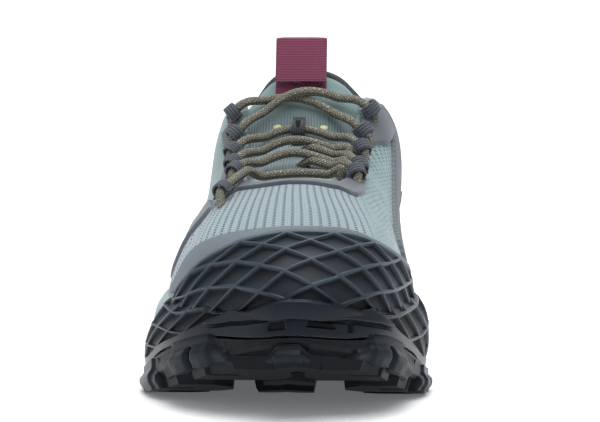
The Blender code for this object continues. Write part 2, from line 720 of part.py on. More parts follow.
def strip_patch(name, table, side, grid, thickness, colour):
    """An overlay between a table's low and high columns, on a side, with edges thinned."""
    columns, layers = grid
    between = np.linspace(0.0, len(table) - 1.0, columns)
    rows = np.interp(between, np.arange(len(table)), [entry.row for entry in table])
    rows = rows[None, :] + np.zeros((layers, 1))
    low, high = np.moveaxis(through(table, rows), -1, 0)
    share = np.linspace(0.0, 1.0, layers)[:, None]
    inside = np.minimum(share, 1.0 - share) * (layers - 1) + 0.0 * rows
    ends = np.minimum(np.arange(columns), np.arange(columns)[::-1])
    thinned = np.where(np.minimum(inside, ends) < 0.5, EDGE_THICKNESS, 1.0)
    patch(name, side * rows, 1.0 + low + (high - low) * share, thickness * thinned, colour)


def add_strap():
    """The lateral strap, from under the eyestay's lower edge down to the sole."""
    down = np.linspace(0.0, 1.0, 8)[:, None]
    back = np.linspace(0.0, 1.0, 5)[None, :]
    front = STRAP_FRONT[0] + (STRAP_FRONT[1] - STRAP_FRONT[0]) * down
    rear = STRAP_REAR[0] + (STRAP_REAR[1] - STRAP_REAR[0]) * down
    rows = front + (rear - front) * back
    start = through(LATERAL_EYESTAY, rows)[..., 0] - 0.014
    patch("strap_lateral", -rows, 1.0 + start + (STRAP_FOOT - start) * down, OVERLAY_THICKNESS, GREY_FILM)


def add_overlays():
    """Eyestays, the saddle and the counter, all fused on the knit."""
    strip_patch("eyestay_medial", MEDIAL_EYESTAY, 1, (22, 4), OVERLAY_THICKNESS, GREY_FILM)
    strip_patch("eyestay_lateral", LATERAL_EYESTAY, -1, (22, 4), OVERLAY_THICKNESS, GREY_FILM)
    strip_patch("saddle_medial", SADDLE, 1, (22, 6), OVERLAY_THICKNESS, GREY_FILM)
    strip_patch("heel_counter", COUNTER, 1, (17, 6), COUNTER_THICKNESS, GREY_FILM)


def saddle_curve(row, across):
    """The instep over the throat.

    across runs from -1 on the lateral throat edge to 1 on the medial one; beyond that
    the place lies on the upper outside the edge.
    """
    row, across = np.broadcast_arrays(np.asarray(row, float), np.asarray(across, float))
    left, right = top_edge(-row), top_edge(row)
    span = np.linalg.norm(right - left, axis=-1, keepdims=True)
    lift_left = unit(wall(-row, 2.0) - wall(-row, 1.97))
    lift_right = unit(wall(row, 2.0) - wall(row, 1.97))
    middle = bezier(
        left,
        left + lift_left * span * 0.30,
        right + lift_right * span * 0.30,
        right,
        np.clip(0.5 + 0.5 * across, 0.0, 1.0),
    )
    past = np.clip(np.abs(across) - 1.0, 0.0, None)
    outer = wall(np.sign(across) * row, 2.0 - past)
    place = np.where((past > 0)[..., None], outer, middle)
    return place


def saddle_place(row, across, height):
    """A point off the instep curve, along its own normal."""
    row, across = np.broadcast_arrays(np.asarray(row, float), np.asarray(across, float))
    along = saddle_curve(row + 0.05, across) - saddle_curve(row - 0.05, across)
    over = saddle_curve(row, across + 0.03) - saddle_curve(row, across - 0.03)
    lift = np.asarray(height, float)[..., None]
    return saddle_curve(row, across) + unit(np.cross(over, along)) * lift


def add_tongue():
    """The padded tongue, tucked under the eyestays and standing up behind the top lace."""
    across = np.array([-1.16, -1.08, -0.98, -0.8, -0.55, -0.28, 0.0, 0.28, 0.55, 0.8, 0.98, 1.08, 1.16])
    rows = np.array([2.0, 2.6, 3.2, 3.8, 4.4, 5.0, 5.6, 6.2])
    row_grid, across_grid = np.meshgrid(rows, across, indexing="ij")
    depth = UPPER_WALL + TONGUE_CLEARANCE
    top = saddle_place(row_grid, across_grid, np.full(row_grid.shape, -depth))
    thick = TONGUE_THICKNESS * (0.35 + 0.65 * (1.0 - smooth_step(0.6, 1.15, np.abs(across_grid))))
    under = saddle_place(row_grid, across_grid, -depth - thick)
    front_rows = across * 1.55
    front = off_wall(front_rows, np.full_like(front_rows, 1.93), np.full_like(front_rows, -depth))
    front_under = off_wall(front_rows, np.full_like(front_rows, 1.93), np.full_like(front_rows, -depth - 0.0015))
    outer, inner = [front], [front_under]
    outer += list(top)
    inner += list(under)
    last_top, last_under = top[-1], under[-1]
    middle = last_top.mean(axis=0)
    for share in (0.35, 0.7, 1.0):
        narrow = 1.0 - 0.20 * share
        crown = (1.0 - np.abs(across / across[-1]) ** 4) * share**2 * 0.28 * TONGUE_RISE
        shift = TONGUE_RISE * share * np.array([0.06, 0.70, 0.50])
        for line, kept in ((last_top, outer), (last_under, inner)):
            moved = (line - middle) * [narrow, 1.0, 1.0] + middle + shift
            moved[:, 2] += crown
            kept.append(moved)
    add_piece("tongue", *slab(np.array(outer), np.array(inner)), PALE_KNIT)


def add_insole():
    """The footbed inside the upper, on top of the foam."""
    rows = np.linspace(0.75, 9.3, 22)
    medial, lateral = feather(rows), feather(-rows)
    span = np.linalg.norm(medial - lateral, axis=-1)
    inset = ((UPPER_WALL + INSOLE_MARGIN) / span)[:, None]
    share = inset + (1.0 - 2.0 * inset) * np.linspace(0.0, 1.0, 5)[None, :]
    low = lateral[:, None, :] + (medial - lateral)[:, None, :] * share[..., None]
    low[..., 2] += 2 * GAP
    high = low + np.array([0.0, 0.0, INSOLE_THICKNESS])
    rim = (np.abs(share - 0.5) > 0.49 - inset) * smooth_step(4.5, 8.0, rows)[:, None]
    high[..., 2] += 0.003 * rim
    add_piece("insole", *slab(high, low), INSOLE_GREY)


def tube(points, radius, sides=6):
    """Points and faces of a round cord along a line of points, its ends closed."""
    points = np.asarray(points, float)
    ahead = unit(np.gradient(points, axis=0))
    side = unit(np.cross(ahead, [0.0, -0.3, 1.0]))
    over = np.cross(side, ahead)
    angle = np.linspace(0.0, 2.0 * math.pi, sides, endpoint=False)
    ring = np.cos(angle)[None, :, None] * side[:, None, :] + np.sin(angle)[None, :, None] * over[:, None, :]
    body = points[:, None, :] + radius * ring
    count = len(points)
    faces = grid_faces(count, sides, closed=True)
    faces += [tuple(reversed(range(sides))), tuple((count - 1) * sides + k for k in range(sides))]
    return body.reshape(-1, 3), faces


Bar = namedtuple("Bar", "name start_row start_across end_row end_across bow")
# Lace runs over the tongue, each from its lateral to its medial end and bowed by part of
# a row in the middle; those that share a name cross and are one body
BARS = [
    Bar("lace_top", 6.45, -1.15, 6.00, 1.15, 0.0),
    Bar("lace_top", 6.00, -1.15, 6.45, 1.15, 0.0),
    Bar("lace_second", 5.15, -1.15, 5.15, 1.15, 0.50),
    Bar("lace_third", 4.35, -1.13, 4.64, 0.86, 0.08),
    Bar("lace_third", 4.64, -0.86, 4.35, 1.13, 0.08),
    Bar("lace_fourth", 3.55, -1.12, 3.78, 0.86, 0.08),
    Bar("lace_fourth", 3.78, -0.86, 3.55, 1.12, 0.08),
    Bar("lace_fifth", 2.75, -1.28, 2.88, 0.86, 0.10),
]


def lace_height(across):
    """How far a lace's middle lies off the instep curve: low on the tongue, high on the eyestay."""
    on_tongue = 0.5 * LACE_DIAMETER - UPPER_WALL + GAP
    on_eyestay = 0.5 * LACE_DIAMETER + OVERLAY_THICKNESS + FACET_ALLOWANCE + 4 * GAP
    return on_tongue + (on_eyestay - on_tongue) * smooth_step(0.5, 0.95, np.abs(across))


def lace_route(bar, share):
    """The row, the place across and the height of one lace run, at shares of its way."""
    share = np.asarray(share, float)
    rows = bar.start_row + (bar.end_row - bar.start_row) * share + bar.bow * 4.0 * share * (1.0 - share)
    across = bar.start_across + (bar.end_across - bar.start_across) * share
    return rows, across, lace_height(across)


def lace_line(bar, count=9):
    """The middle of one lace run, with a station under each of its loops."""
    shares = np.sort(np.append(np.linspace(0.0, 1.0, count), [LOOP_PLACE, 1.0 - LOOP_PLACE]))
    return saddle_place(*lace_route(bar, shares))


def add_laces():
    """Each crossing of the lace over the tongue as one body."""
    for name in dict.fromkeys(bar.name for bar in BARS):
        runs = [bar for bar in BARS if bar.name == name]
        first = add_piece(name, *tube(lace_line(runs[0]), 0.5 * LACE_DIAMETER), LACE_CORD)
        for number, bar in enumerate(runs[1:]):
            merge_into(first, f"{name}_run_{number}", *tube(lace_line(bar), 0.5 * LACE_DIAMETER))


def add_bridge(name, place, along, lift, width, foot):
    """A webbing loop: a strip that arches over the lace, with a foot on either side."""
    lift = unit(lift - along * np.dot(lift, along))
    side = np.cross(along, lift)
    inner = 0.5 * LACE_DIAMETER + 2 * GAP
    outer = inner + WEBBING_THICKNESS
    floor = 0.5 * LACE_DIAMETER
    angles = np.linspace(math.pi, 0.0, 5)
    under = [(-outer - foot, -floor), (-inner, -floor)] + [(inner * math.cos(a), inner * math.sin(a)) for a in angles]
    under += [(inner, -floor), (outer + foot, -floor)]
    top = WEBBING_THICKNESS - floor
    over = [(-outer - foot, top), (-outer, top)] + [(outer * math.cos(a), outer * math.sin(a)) for a in angles]
    over += [(outer, top), (outer + foot, top)]
    ends = np.array([-0.5 * width, 0.5 * width])
    grids = [
        place + np.array([[side * s + lift * h + along * e for e in ends] for s, h in line])
        for line in (over, under)
    ]
    add_piece(name, *slab(*grids), GREY_WEBBING)


def add_lace_loops():
    """Webbing loops on the eyestays, one round each outer end of a lace run."""
    counts = {"lateral": 0, "medial": 0}
    for bar in BARS:
        ends = ((LOOP_PLACE, bar.start_across, "lateral"), (1.0 - LOOP_PLACE, bar.end_across, "medial"))
        for share, end, side in ends:
            if abs(end) < 1.0:
                continue
            counts[side] += 1
            row, across, height = lace_route(bar, share)
            place, base = saddle_place(row, across, height), saddle_place(row, across, 0.0 * height)
            before, after = saddle_place(*lace_route(bar, np.array([share - 0.02, share + 0.02])))
            name = f"lace_loop_{side}_{counts[side]}"
            add_bridge(name, place, unit(after - before), place - base, WEBBING_WIDTH, WEBBING_FOOT)


def add_keeper():
    """The ribbed webbing loop in the middle of the tongue, which holds the second lace run."""
    run = next(bar for bar in BARS if bar.name == "lace_second")
    row, across, height = lace_route(run, 0.5)
    place, base = saddle_place(row, across, height), saddle_place(row, across, 0.0 * height - UPPER_WALL)
    add_bridge("lace_keeper", place, np.array([1.0, 0.0, 0.0]), place - base, KEEPER_WIDTH, KEEPER_FOOT)


def ribbon(line, normal, width_axis, width, thickness):
    """Points and faces of a strip along a line, as wide and thick as given."""
    line, normal = np.asarray(line), np.asarray(normal)
    half, lift = 0.5 * width * np.asarray(width_axis), 0.5 * thickness * normal
    outer = np.stack([line - half + lift, line + half + lift], axis=1)
    inner = np.stack([line - half - lift, line + half - lift], axis=1)
    return slab(outer, inner)


def add_pull_loop():
    """The folded webbing loop that stands up from the tongue."""
    base = saddle_place(np.array(6.3), np.array(-0.05), np.array(-UPPER_WALL + TONGUE_CLEARANCE))
    start = base + np.array([-0.0005, 0.0056, 0.0030])
    fold = 0.5 * (WEBBING_THICKNESS + 0.0016)
    lean = unit(np.array([0.0, 0.40, 1.0]))
    forward = unit(np.cross([1.0, 0.0, 0.0], lean))
    heights = np.linspace(0.0, TAB_HEIGHT, 7)
    front = [start + lean * h - forward * fold * smooth_step(0.0, 0.006, h) for h in heights]
    bend = [
        start + lean * (TAB_HEIGHT + fold * math.sin(angle)) - forward * fold * math.cos(angle)
        for angle in np.linspace(0.0, math.pi, 6)[1:-1]
    ]
    back = [start + lean * h + forward * fold for h in heights[:1:-1]]
    line = np.array(front + bend + back)
    ahead = unit(np.gradient(line, axis=0))
    normal = np.cross(ahead, [1.0, 0.0, 0.0])
    add_piece("pull_loop", *ribbon(line, normal, [1.0, 0.0, 0.0], TAB_WIDTH, WEBBING_THICKNESS), WINE_WEBBING)


PIECES = [
    add_outsole,
    add_midsole,
    add_upper,
    add_toe_rand,
    add_toe_band,
    add_overlays,
    add_strap,
    add_tongue,
    add_insole,
    add_laces,
    add_lace_loops,
    add_keeper,
    add_pull_loop,
]

def set_down():
    """Move the shoe so that its box stands centred on the origin, its lugs at zero height."""
    meshes = [piece.data for piece in bpy.data.objects]
    shown = [piece.data for piece in bpy.data.objects if not piece.hide_render]
    corners = np.array([vertex.co[:] for mesh in shown for vertex in mesh.vertices])
    low, high = corners.min(axis=0), corners.max(axis=0)
    shift = Matrix.Translation((-0.5 * (low[0] + high[0]), -0.5 * (low[1] + high[1]), 0.0))
    for mesh in meshes:
        mesh.transform(shift)


for leftover in list(bpy.data.objects):
    bpy.data.objects.remove(leftover, do_unlink=True)
for add in PIECES:
    add()
set_down()
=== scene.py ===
"""Looks of a trail running shoe for a right foot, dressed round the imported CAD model.

Metres, +Z up. The toe points to -Y, the medial side to +X.
"""

import math

import bpy
import numpy as np
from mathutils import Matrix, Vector


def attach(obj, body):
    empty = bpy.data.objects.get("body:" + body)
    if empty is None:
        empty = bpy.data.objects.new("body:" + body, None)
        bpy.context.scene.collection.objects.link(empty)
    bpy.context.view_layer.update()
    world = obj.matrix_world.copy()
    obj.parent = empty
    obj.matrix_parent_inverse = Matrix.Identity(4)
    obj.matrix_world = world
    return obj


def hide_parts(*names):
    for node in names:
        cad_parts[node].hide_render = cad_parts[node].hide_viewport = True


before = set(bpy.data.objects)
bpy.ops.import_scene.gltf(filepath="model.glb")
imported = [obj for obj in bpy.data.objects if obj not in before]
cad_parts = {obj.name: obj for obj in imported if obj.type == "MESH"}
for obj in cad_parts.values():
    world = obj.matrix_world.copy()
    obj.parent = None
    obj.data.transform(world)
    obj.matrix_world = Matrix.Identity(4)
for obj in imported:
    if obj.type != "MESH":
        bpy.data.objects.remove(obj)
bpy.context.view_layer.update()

# Camera, floor and light
# The shoe is seen from just in front of the toe, a little from its medial side and
# almost level with it, through a long lens. It stands on pale paper under soft light.
SENSOR_WIDTH = 36.0
LENS = 140.4
VIEW_AZIMUTH = math.radians(3.0)
VIEW_HEIGHT = math.radians(4.0)
VIEW_DISTANCE = 0.9
VIEW_TARGET = Vector((0.00545, -0.056, 0.0682))
AIR_COLOUR = (0.92, 0.96, 1.0, 1.0)
AIR_STRENGTH = 0.24
PAPER_SIZE = 4.0
PAPER_BACK = 1.2
PAPER_BEND = 0.8


def paint(red, green, blue):
    """A colour from its three screen values, 0 to 255, as light."""
    screen = np.array([red, green, blue]) / 255.0
    light = np.where(screen <= 0.04045, screen / 12.92, ((screen + 0.055) / 1.055) ** 2.4)
    return (*light.tolist(), 1.0)


toward = Vector(
    (
        math.sin(VIEW_AZIMUTH) * math.cos(VIEW_HEIGHT),
        -math.cos(VIEW_AZIMUTH) * math.cos(VIEW_HEIGHT),
        math.sin(VIEW_HEIGHT),
    )
)
camera = bpy.data.objects.new("camera", bpy.data.cameras.new("camera"))
camera.data.sensor_width = SENSOR_WIDTH
camera.data.lens = LENS
camera.data.clip_end = 20.0
camera.location = VIEW_TARGET + toward * VIEW_DISTANCE
camera.rotation_euler = toward.to_track_quat("Z", "Y").to_euler()
bpy.context.collection.objects.link(camera)
bpy.context.scene.camera = camera


# Name, place, aim, size in metres and power in watts
LIGHTS = [
    ("light_above", (0.15, -0.45, 1.5), (0.0, 0.0, 0.05), 1.3, 18.0),
    ("light_left", (-1.3, -0.35, 0.55), (0.0, 0.0, 0.06), 0.9, 2.8),
    ("light_right", (1.3, -0.25, 0.6), (0.0, 0.0, 0.06), 0.9, 1.2),
    ("light_front", (0.1, -1.7, 0.7), (0.0, 0.0, 0.05), 1.0, 1.0),
    ("light_wall", (0.0, 0.7, 2.2), (0.0, 2.0, 0.5), 1.5, 34.0),
]
for name, place, aim, size, watts in LIGHTS:
    light = bpy.data.objects.new(name, bpy.data.lights.new(name, "AREA"))
    light.data.size = size
    light.data.energy = watts
    light.location = place
    light.rotation_euler = (Vector(place) - Vector(aim)).to_track_quat("Z", "Y").to_euler()
    bpy.context.collection.objects.link(light)
world = bpy.data.worlds.new("studio")
world.use_nodes = True
world.node_tree.nodes["Background"].inputs["Color"].default_value = AIR_COLOUR
world.node_tree.nodes["Background"].inputs["Strength"].default_value = AIR_STRENGTH
bpy.context.scene.world = world
bpy.context.scene.view_settings.view_transform = "Standard"


class Value:
    """A shader's number, so that sums in Python become its Math nodes."""

    def __init__(self, finish, socket):
        self.finish, self.socket = finish, socket

    def maths(self, operation, first, second=0.0):
        """One Math node with two inputs."""
        return self.finish.node("ShaderNodeMath", {"operation": operation}, {0: first, 1: second})

    def __add__(self, other):
        return self.maths("ADD", self, other)

    def __sub__(self, other):
        return self.maths("SUBTRACT", self, other)

    def __rsub__(self, other):
        return self.maths("SUBTRACT", other, self)

    def __mul__(self, other):
        return self.maths("MULTIPLY", self, other)

    def __truediv__(self, other):
        return self.maths("DIVIDE", self, other)

    __radd__ = __add__
    __rmul__ = __mul__

    def sine(self):
        """The sine of the number."""
        return self.maths("SINE", self)

    def wave(self, pitch=1.0):
        """A smooth wave from 0 to 1 that repeats after each pitch."""
        return (self * (2.0 * math.pi / pitch)).sine() * 0.5 + 0.5

    def off_middle(self):
        """How far the number lies from the middle between two whole numbers, 0 to 0.5."""
        return self.maths("ABSOLUTE", self.maths("FRACT", self) - 0.5)

    def larger(self, other):
        """The larger of two numbers."""
        return self.maths("MAXIMUM", self, other)

    def rise(self, low, high):
        """0 below low, 1 above high and a smooth S between; turned round if high is below low."""
        settings = {"interpolation_type": "SMOOTHSTEP"}
        if low > high:
            return 1.0 - self.rise(high, low)
        inputs = {"Value": self, "From Min": low, "From Max": high}
        return self.finish.node("ShaderNodeMapRange", settings, inputs, "Result")


class Finish:
    """A Principled material whose pattern is written as sums of Values."""

    def __init__(self, name, **constants):
        self.material = bpy.data.materials.new(name)
        self.material.use_nodes = True
        self.nodes = self.material.node_tree.nodes
        self.links = self.material.node_tree.links
        self.shader = self.nodes["Principled BSDF"]
        for key, value in constants.items():
            socket = key.replace("_", " ").title().replace("Ior", "IOR")
            self.shader.inputs[socket].default_value = value

    def node(self, kind, settings, inputs, output=0):
        """Any node: its type, its settings, then the values or links of its sockets."""
        made = self.nodes.new(kind)
        for key, value in settings.items():
            setattr(made, key, value)
        for key, value in inputs.items():
            if isinstance(value, Value):
                self.links.new(value.socket, made.inputs[key])
            else:
                made.inputs[key].default_value = value
        return Value(self, made.outputs[output])

    def attribute(self, name):
        """A number kept on the piece's points."""
        return self.node("ShaderNodeAttribute", {"attribute_name": name}, {}, "Fac")

    def place(self):
        """The place on the piece, in metres."""
        return self.node("ShaderNodeTexCoord", {}, {}, "Object")

    def along(self, axis):
        """The place along one axis, in metres."""
        return self.node("ShaderNodeSeparateXYZ", {}, {0: self.place()}, axis)

    def noise(self, grain, detail=2.0, vector=None):
        """Cloudy noise, 0 to 1, with grains of a size in metres."""
        inputs = {"Vector": vector or self.place(), "Scale": 1.0 / grain, "Detail": detail}
        return self.node("ShaderNodeTexNoise", {}, inputs)

    def coats(self, colour, *coats):
        """A colour under coats, each a share and a colour, as links or screen values."""
        for share, coat in coats:
            pair = [each if isinstance(each, Value) else paint(*each) for each in (colour, coat)]
            inputs = {0: share, 6: pair[0], 7: pair[1]}
            colour = self.node("ShaderNodeMix", {"data_type": "RGBA"}, inputs, 2)
        return colour

    def shows(self, colour=None, roughness=None, height=None, depth=0.001):
        """What feeds the shader: its colour, its roughness, and a relief of a depth in metres."""
        if colour is not None:
            self.links.new(colour.socket, self.shader.inputs["Base Color"])
        if roughness is not None:
            self.links.new(roughness.socket, self.shader.inputs["Roughness"])
        if height is not None:
            inputs = {"Height": height, "Distance": depth, "Strength": 1.0}
            self.links.new(self.node("ShaderNodeBump", {}, inputs).socket, self.shader.inputs["Normal"])


def surface(name, points, finish, wrap=(False, False), facing=None, **attributes):
    """A smooth mesh on a grid of points, with numbers kept on its points.

    Wrap joins the last row or column to the first. Faces point along facing, or else
    out of the closed body.
    """
    index = np.arange(points.shape[0] * points.shape[1]).reshape(points.shape[:2])
    if wrap[0]:
        index = np.vstack([index, index[:1]])
    if wrap[1]:
        index = np.hstack([index, index[:, :1]])
    corners = [index[:-1, :-1], index[:-1, 1:], index[1:, 1:], index[1:, :-1]]
    quads = np.stack(corners, axis=-1).reshape(-1, 4)
    flat = points.reshape(-1, 3)
    a, b, c, d = (flat[quads[:, k]] for k in range(4))
    normals = np.cross(c - a, d - b)
    away = (a + c) / 2.0 if facing is None else facing.reshape(-1, 3)[quads[:, 0]]
    if (normals * away).sum() < 0.0:
        quads = quads[:, ::-1]
    mesh = bpy.data.meshes.new(name)
    mesh.vertices.add(len(flat))
    mesh.vertices.foreach_set("co", flat.ravel())
    mesh.loops.add(quads.size)
    mesh.loops.foreach_set("vertex_index", quads.ravel())
    mesh.polygons.add(len(quads))
    mesh.polygons.foreach_set("loop_start", np.arange(0, quads.size, 4))
    mesh.update(calc_edges=True)
    mesh.shade_smooth()
    for key, values in attributes.items():
        kept = mesh.attributes.new(key, "FLOAT", "POINT")
        every = np.broadcast_to(values, points.shape[:2])
        kept.data.foreach_set("value", every.astype(np.float32).ravel())
    mesh.materials.append(finish.material)
    piece = bpy.data.objects.new(name, mesh)
    bpy.context.collection.objects.link(piece)
    return piece


def worn(piece, slot, *nodes):
    """The piece rides on the shoe and stands for its CAD nodes, which it hides. The slot is not used."""
    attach(piece, "root")
    if nodes:
        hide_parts(*nodes)
    return piece


paper = Finish("pale paper", base_color=paint(253, 254, 255), roughness=0.85, emission_strength=0.12)
paper.shader.inputs["Emission Color"].default_value = paint(250, 252, 255)
bend = np.linspace(0.0, 0.5 * math.pi, 13)
curve_y, curve_z = PAPER_BACK + PAPER_BEND * np.sin(bend), PAPER_BEND * (1.0 - np.cos(bend))
paper_x = np.array([[-PAPER_SIZE], [PAPER_SIZE]])
paper_y = np.concatenate([[-PAPER_SIZE, 0.0], curve_y, [PAPER_BACK + PAPER_BEND]])
paper_z = np.concatenate([[0.0, 0.0], curve_z, [PAPER_SIZE]])
paper_grid = np.stack(np.broadcast_arrays(paper_x, paper_y, paper_z), axis=-1)
floor = surface("floor", paper_grid, paper, facing=np.broadcast_to([0.0, 0.0, 1.0], paper_grid.shape))

# Upper
# A knitted shell, one piece from the toe to the heel, with pinholes in columns over the
# vamp, a perforated panel inside the foot and a striped one outside. It is lasted under
# the insole, and its collar is padded and lined.
CENTRE = np.array([0.002953, -0.146, 0.0])
LENGTH = 0.292
BALL_WIDTH = 0.109
SOLE_HEIGHT = 0.049
COLLAR_HEIGHT = 0.104
TOE_SPRING = 0.0225
HEEL_RISE = 0.006
SOLE_SHEET = 0.0078
TOE_WRAP = 0.005
LEDGE = 0.004
GAP = 0.0003
FLAT_FRONT = 0.257
FLAT_BACK = 0.856
# Sections round the shoe from the toe tip over the medial side to the heel and back:
# along, across, inset, feather, top_along, top_across, top_up, lift, flare, reach, swell, drop
SECTIONS = [
    (0.0, 0.046, 0.046, 0.735, 0.342, 0.009, 0.76, 0.6, 0.028, 0.62, 0.0, 0.16),
    (0.031, 0.248, 0.05, 0.735, 0.346, 0.073, 0.755, 0.6, 0.028, 0.62, 0.0, 0.16),
    (0.103, 0.376, 0.056, 0.735, 0.363, 0.132, 0.745, 0.55, 0.022, 0.6, 0.0, 0.16),
    (0.205, 0.445, 0.06, 0.735, 0.397, 0.17, 0.76, 0.52, 0.002, 0.55, 0.0, 0.18),
    (0.308, 0.468, 0.064, 0.745, 0.445, 0.184, 0.788, 0.46, -0.014, 0.5, 0.004, 0.2),
    (0.425, 0.436, 0.055, 0.796, 0.503, 0.193, 0.841, 0.46, -0.008, 0.5, 0.034, 0.18),
    (0.541, 0.376, 0.032, 0.878, 0.562, 0.197, 0.928, 0.5, 0.016, 0.6, 0.092, 0.14),
    (0.678, 0.339, 0.023, 0.96, 0.651, 0.248, 1.048, 0.45, 0.05, 0.4, 0.118, 0.16),
    (0.815, 0.339, 0.028, 0.98, 0.781, 0.284, 0.846, 0.45, 0.056, 0.3, 0.084, 0.3),
    (0.938, 0.252, 0.037, 0.98, 0.901, 0.211, 0.894, 0.4, 0.046, 0.3, 0.055, 0.3),
    (1.0, 0.01, 0.046, 1.0, 0.945, 0.01, 1.0, 0.4, 0.046, 0.3, 0.046, 0.3),
    (0.938, -0.252, 0.037, 0.98, 0.901, -0.202, 0.885, 0.4, 0.046, 0.3, 0.055, 0.3),
    (0.815, -0.362, 0.032, 0.94, 0.781, -0.284, 0.827, 0.45, 0.046, 0.3, 0.064, 0.3),
    (0.678, -0.394, 0.037, 0.898, 0.651, -0.257, 1.038, 0.45, 0.028, 0.4, 0.092, 0.16),
    (0.541, -0.45, 0.06, 0.837, 0.562, -0.22, 0.918, 0.42, -0.012, 0.5, 0.05, 0.18),
    (0.425, -0.514, 0.08, 0.776, 0.503, -0.216, 0.832, 0.36, -0.03, 0.48, 0.015, 0.22),
    (0.318, -0.532, 0.084, 0.745, 0.445, -0.206, 0.78, 0.34, -0.028, 0.5, 0.0, 0.26),
    (0.205, -0.468, 0.076, 0.735, 0.397, -0.188, 0.755, 0.4, -0.016, 0.55, 0.0, 0.24),
    (0.11, -0.349, 0.06, 0.735, 0.363, -0.147, 0.743, 0.5, 0.01, 0.6, 0.0, 0.16),
    (0.034, -0.151, 0.05, 0.735, 0.346, -0.05, 0.755, 0.58, 0.025, 0.62, 0.0, 0.16),
]
ROWS = len(SECTIONS)
# Row from the toe, and how far the foam stands out at its middle and its shoulder
FOAM = [
    (0, 0.0, 0.0),
    (2, 0.0, 0.01),
    (2.6, 0.002, 0.02),
    (3.6, 0.02, 0.056),
    (6, 0.026, 0.052),
    (8, 0.034, 0.05),
    (10, 0.03, 0.04),
]


def smooth(low, high, value):
    """0 below low, 1 above high and a smooth S between; turned round if high is below low."""
    share = np.clip((np.asarray(value, float) - low) / (high - low), 0.0, 1.0)
    return share * share * (3.0 - 2.0 * share)


def shares(count):
    """Even shares from 0 to 1."""
    return np.linspace(0.0, 1.0, count)


def alike(*values):
    """Numbers or arrays as arrays of one shape."""
    return np.broadcast_arrays(*(np.asarray(value, float) for value in values))


def unit(vectors):
    """Vectors made one long."""
    return vectors / np.maximum(np.linalg.norm(vectors, axis=-1, keepdims=True), 1e-12)


def way_along(points, axis=0):
    """How far each point lies along its line, in metres: the lengths of the steps added up."""
    steps = np.linalg.norm(np.diff(points, axis=axis), axis=-1)
    start = 0.0 * np.take(steps, [0], axis=axis)
    return np.concatenate([start, np.cumsum(steps, axis=axis)], axis=axis)


def from_toe(row):
    """How many rows from the toe, 0 to 10, on either side of the shoe."""
    return np.minimum(np.mod(row, ROWS), ROWS - np.mod(row, ROWS))


def ring_bends(values):
    """Second slopes of the closed cubic spline through values at the whole numbers."""
    one = np.eye(len(values))
    system = 4.0 * one + np.roll(one, 1, axis=1) + np.roll(one, -1, axis=1)
    around = np.roll(values, -1, axis=0) + np.roll(values, 1, axis=0)
    return np.linalg.solve(system, 6.0 * (around - 2.0 * values))


SHAPE = np.array(SECTIONS)
SHAPE_BENDS = ring_bends(SHAPE)


def shape(row):
    """The section columns at any row: the closed cubic spline through the table."""
    start = np.floor(row).astype(int)
    t = (row - start)[..., None]
    low, high = start % ROWS, (start + 1) % ROWS
    straight = (1 - t) * SHAPE[low] + t * SHAPE[high]
    bent = ((1 - t) ** 3 - (1 - t)) * SHAPE_BENDS[low] + (t**3 - t) * SHAPE_BENDS[high]
    return straight + bent / 6.0


def through(table, row):
    """A short table's columns at any row, by a cubic that doesn't overshoot."""
    table = np.array(table, float)
    at, values = table[:, 0], table[:, 1:]
    rise = np.diff(values, axis=0) / np.diff(at)[:, None]
    before, after = rise[:-1], rise[1:]
    same = before * after > 0
    between = 2.0 * before * after / np.where(same, before + after, 1.0)
    slopes = np.concatenate([rise[:1], np.where(same, between, 0.0), rise[-1:]])
    row = np.clip(np.asarray(row, float), at[0], at[-1])
    k = np.clip(np.searchsorted(at, row, side="right") - 1, 0, len(at) - 2)
    width = (at[k + 1] - at[k])[..., None]
    t = (row - at[k])[..., None] / width
    start = (2 * t**3 - 3 * t**2 + 1) * values[k] + (t**3 - 2 * t**2 + t) * width * slopes[k]
    return start + (3 * t**2 - 2 * t**3) * values[k + 1] + (t**3 - t**2) * width * slopes[k + 1]


def outline(row):
    """The sole's outline in plan, at no height."""
    columns = shape(row)
    x, y = columns[..., 1] * BALL_WIDTH, columns[..., 0] * LENGTH
    return np.stack([x, y, 0.0 * x], axis=-1)


def outward(row):
    """The level direction out of the shoe."""
    way = unit(outline(row + 0.05) - outline(row - 0.05))
    return np.stack([way[..., 1], -way[..., 0], 0.0 * way[..., 0]], axis=-1)


def tread(y):
    """The height of the lugs' lowest faces at a y from the toe tip."""
    toe = np.clip(FLAT_FRONT - y / LENGTH, 0.0, None) / FLAT_FRONT
    heel = np.clip(y / LENGTH - FLAT_BACK, 0.0, None) / (1.0 - FLAT_BACK)
    return TOE_SPRING * toe**1.35 + HEEL_RISE * heel**1.6


def sheet_top(y):
    """The height of the outsole's upper edge."""
    wrap = TOE_WRAP * smooth(0.0, 0.08, y / LENGTH) * smooth(0.33, 0.15, y / LENGTH)
    return tread(y) + SOLE_SHEET + wrap


def bezier(a, b, c, d, t):
    """A cubic curve from a to d, pulled towards b and c."""
    t = t[..., None]
    return (1 - t) ** 3 * a + 3 * (1 - t) ** 2 * t * b + 3 * (1 - t) * t**2 * c + t**3 * d


def foot_line(row):
    """The foam's lower edge, inside the outsole's ledge."""
    place = outline(row)
    place[..., 2] = sheet_top(place[..., 1]) + GAP
    return place - outward(row) * LEDGE


def feather(row):
    """The line where the upper meets the sole."""
    columns, place = shape(row), outline(row)
    place[..., 2] = columns[..., 3] * SOLE_HEIGHT
    return place - outward(row) * (columns[..., 2] * BALL_WIDTH)[..., None]


def top_edge(row):
    """The edge of the throat and the collar."""
    return shape(row)[..., [5, 4, 6]] * [BALL_WIDTH, LENGTH, COLLAR_HEIGHT]


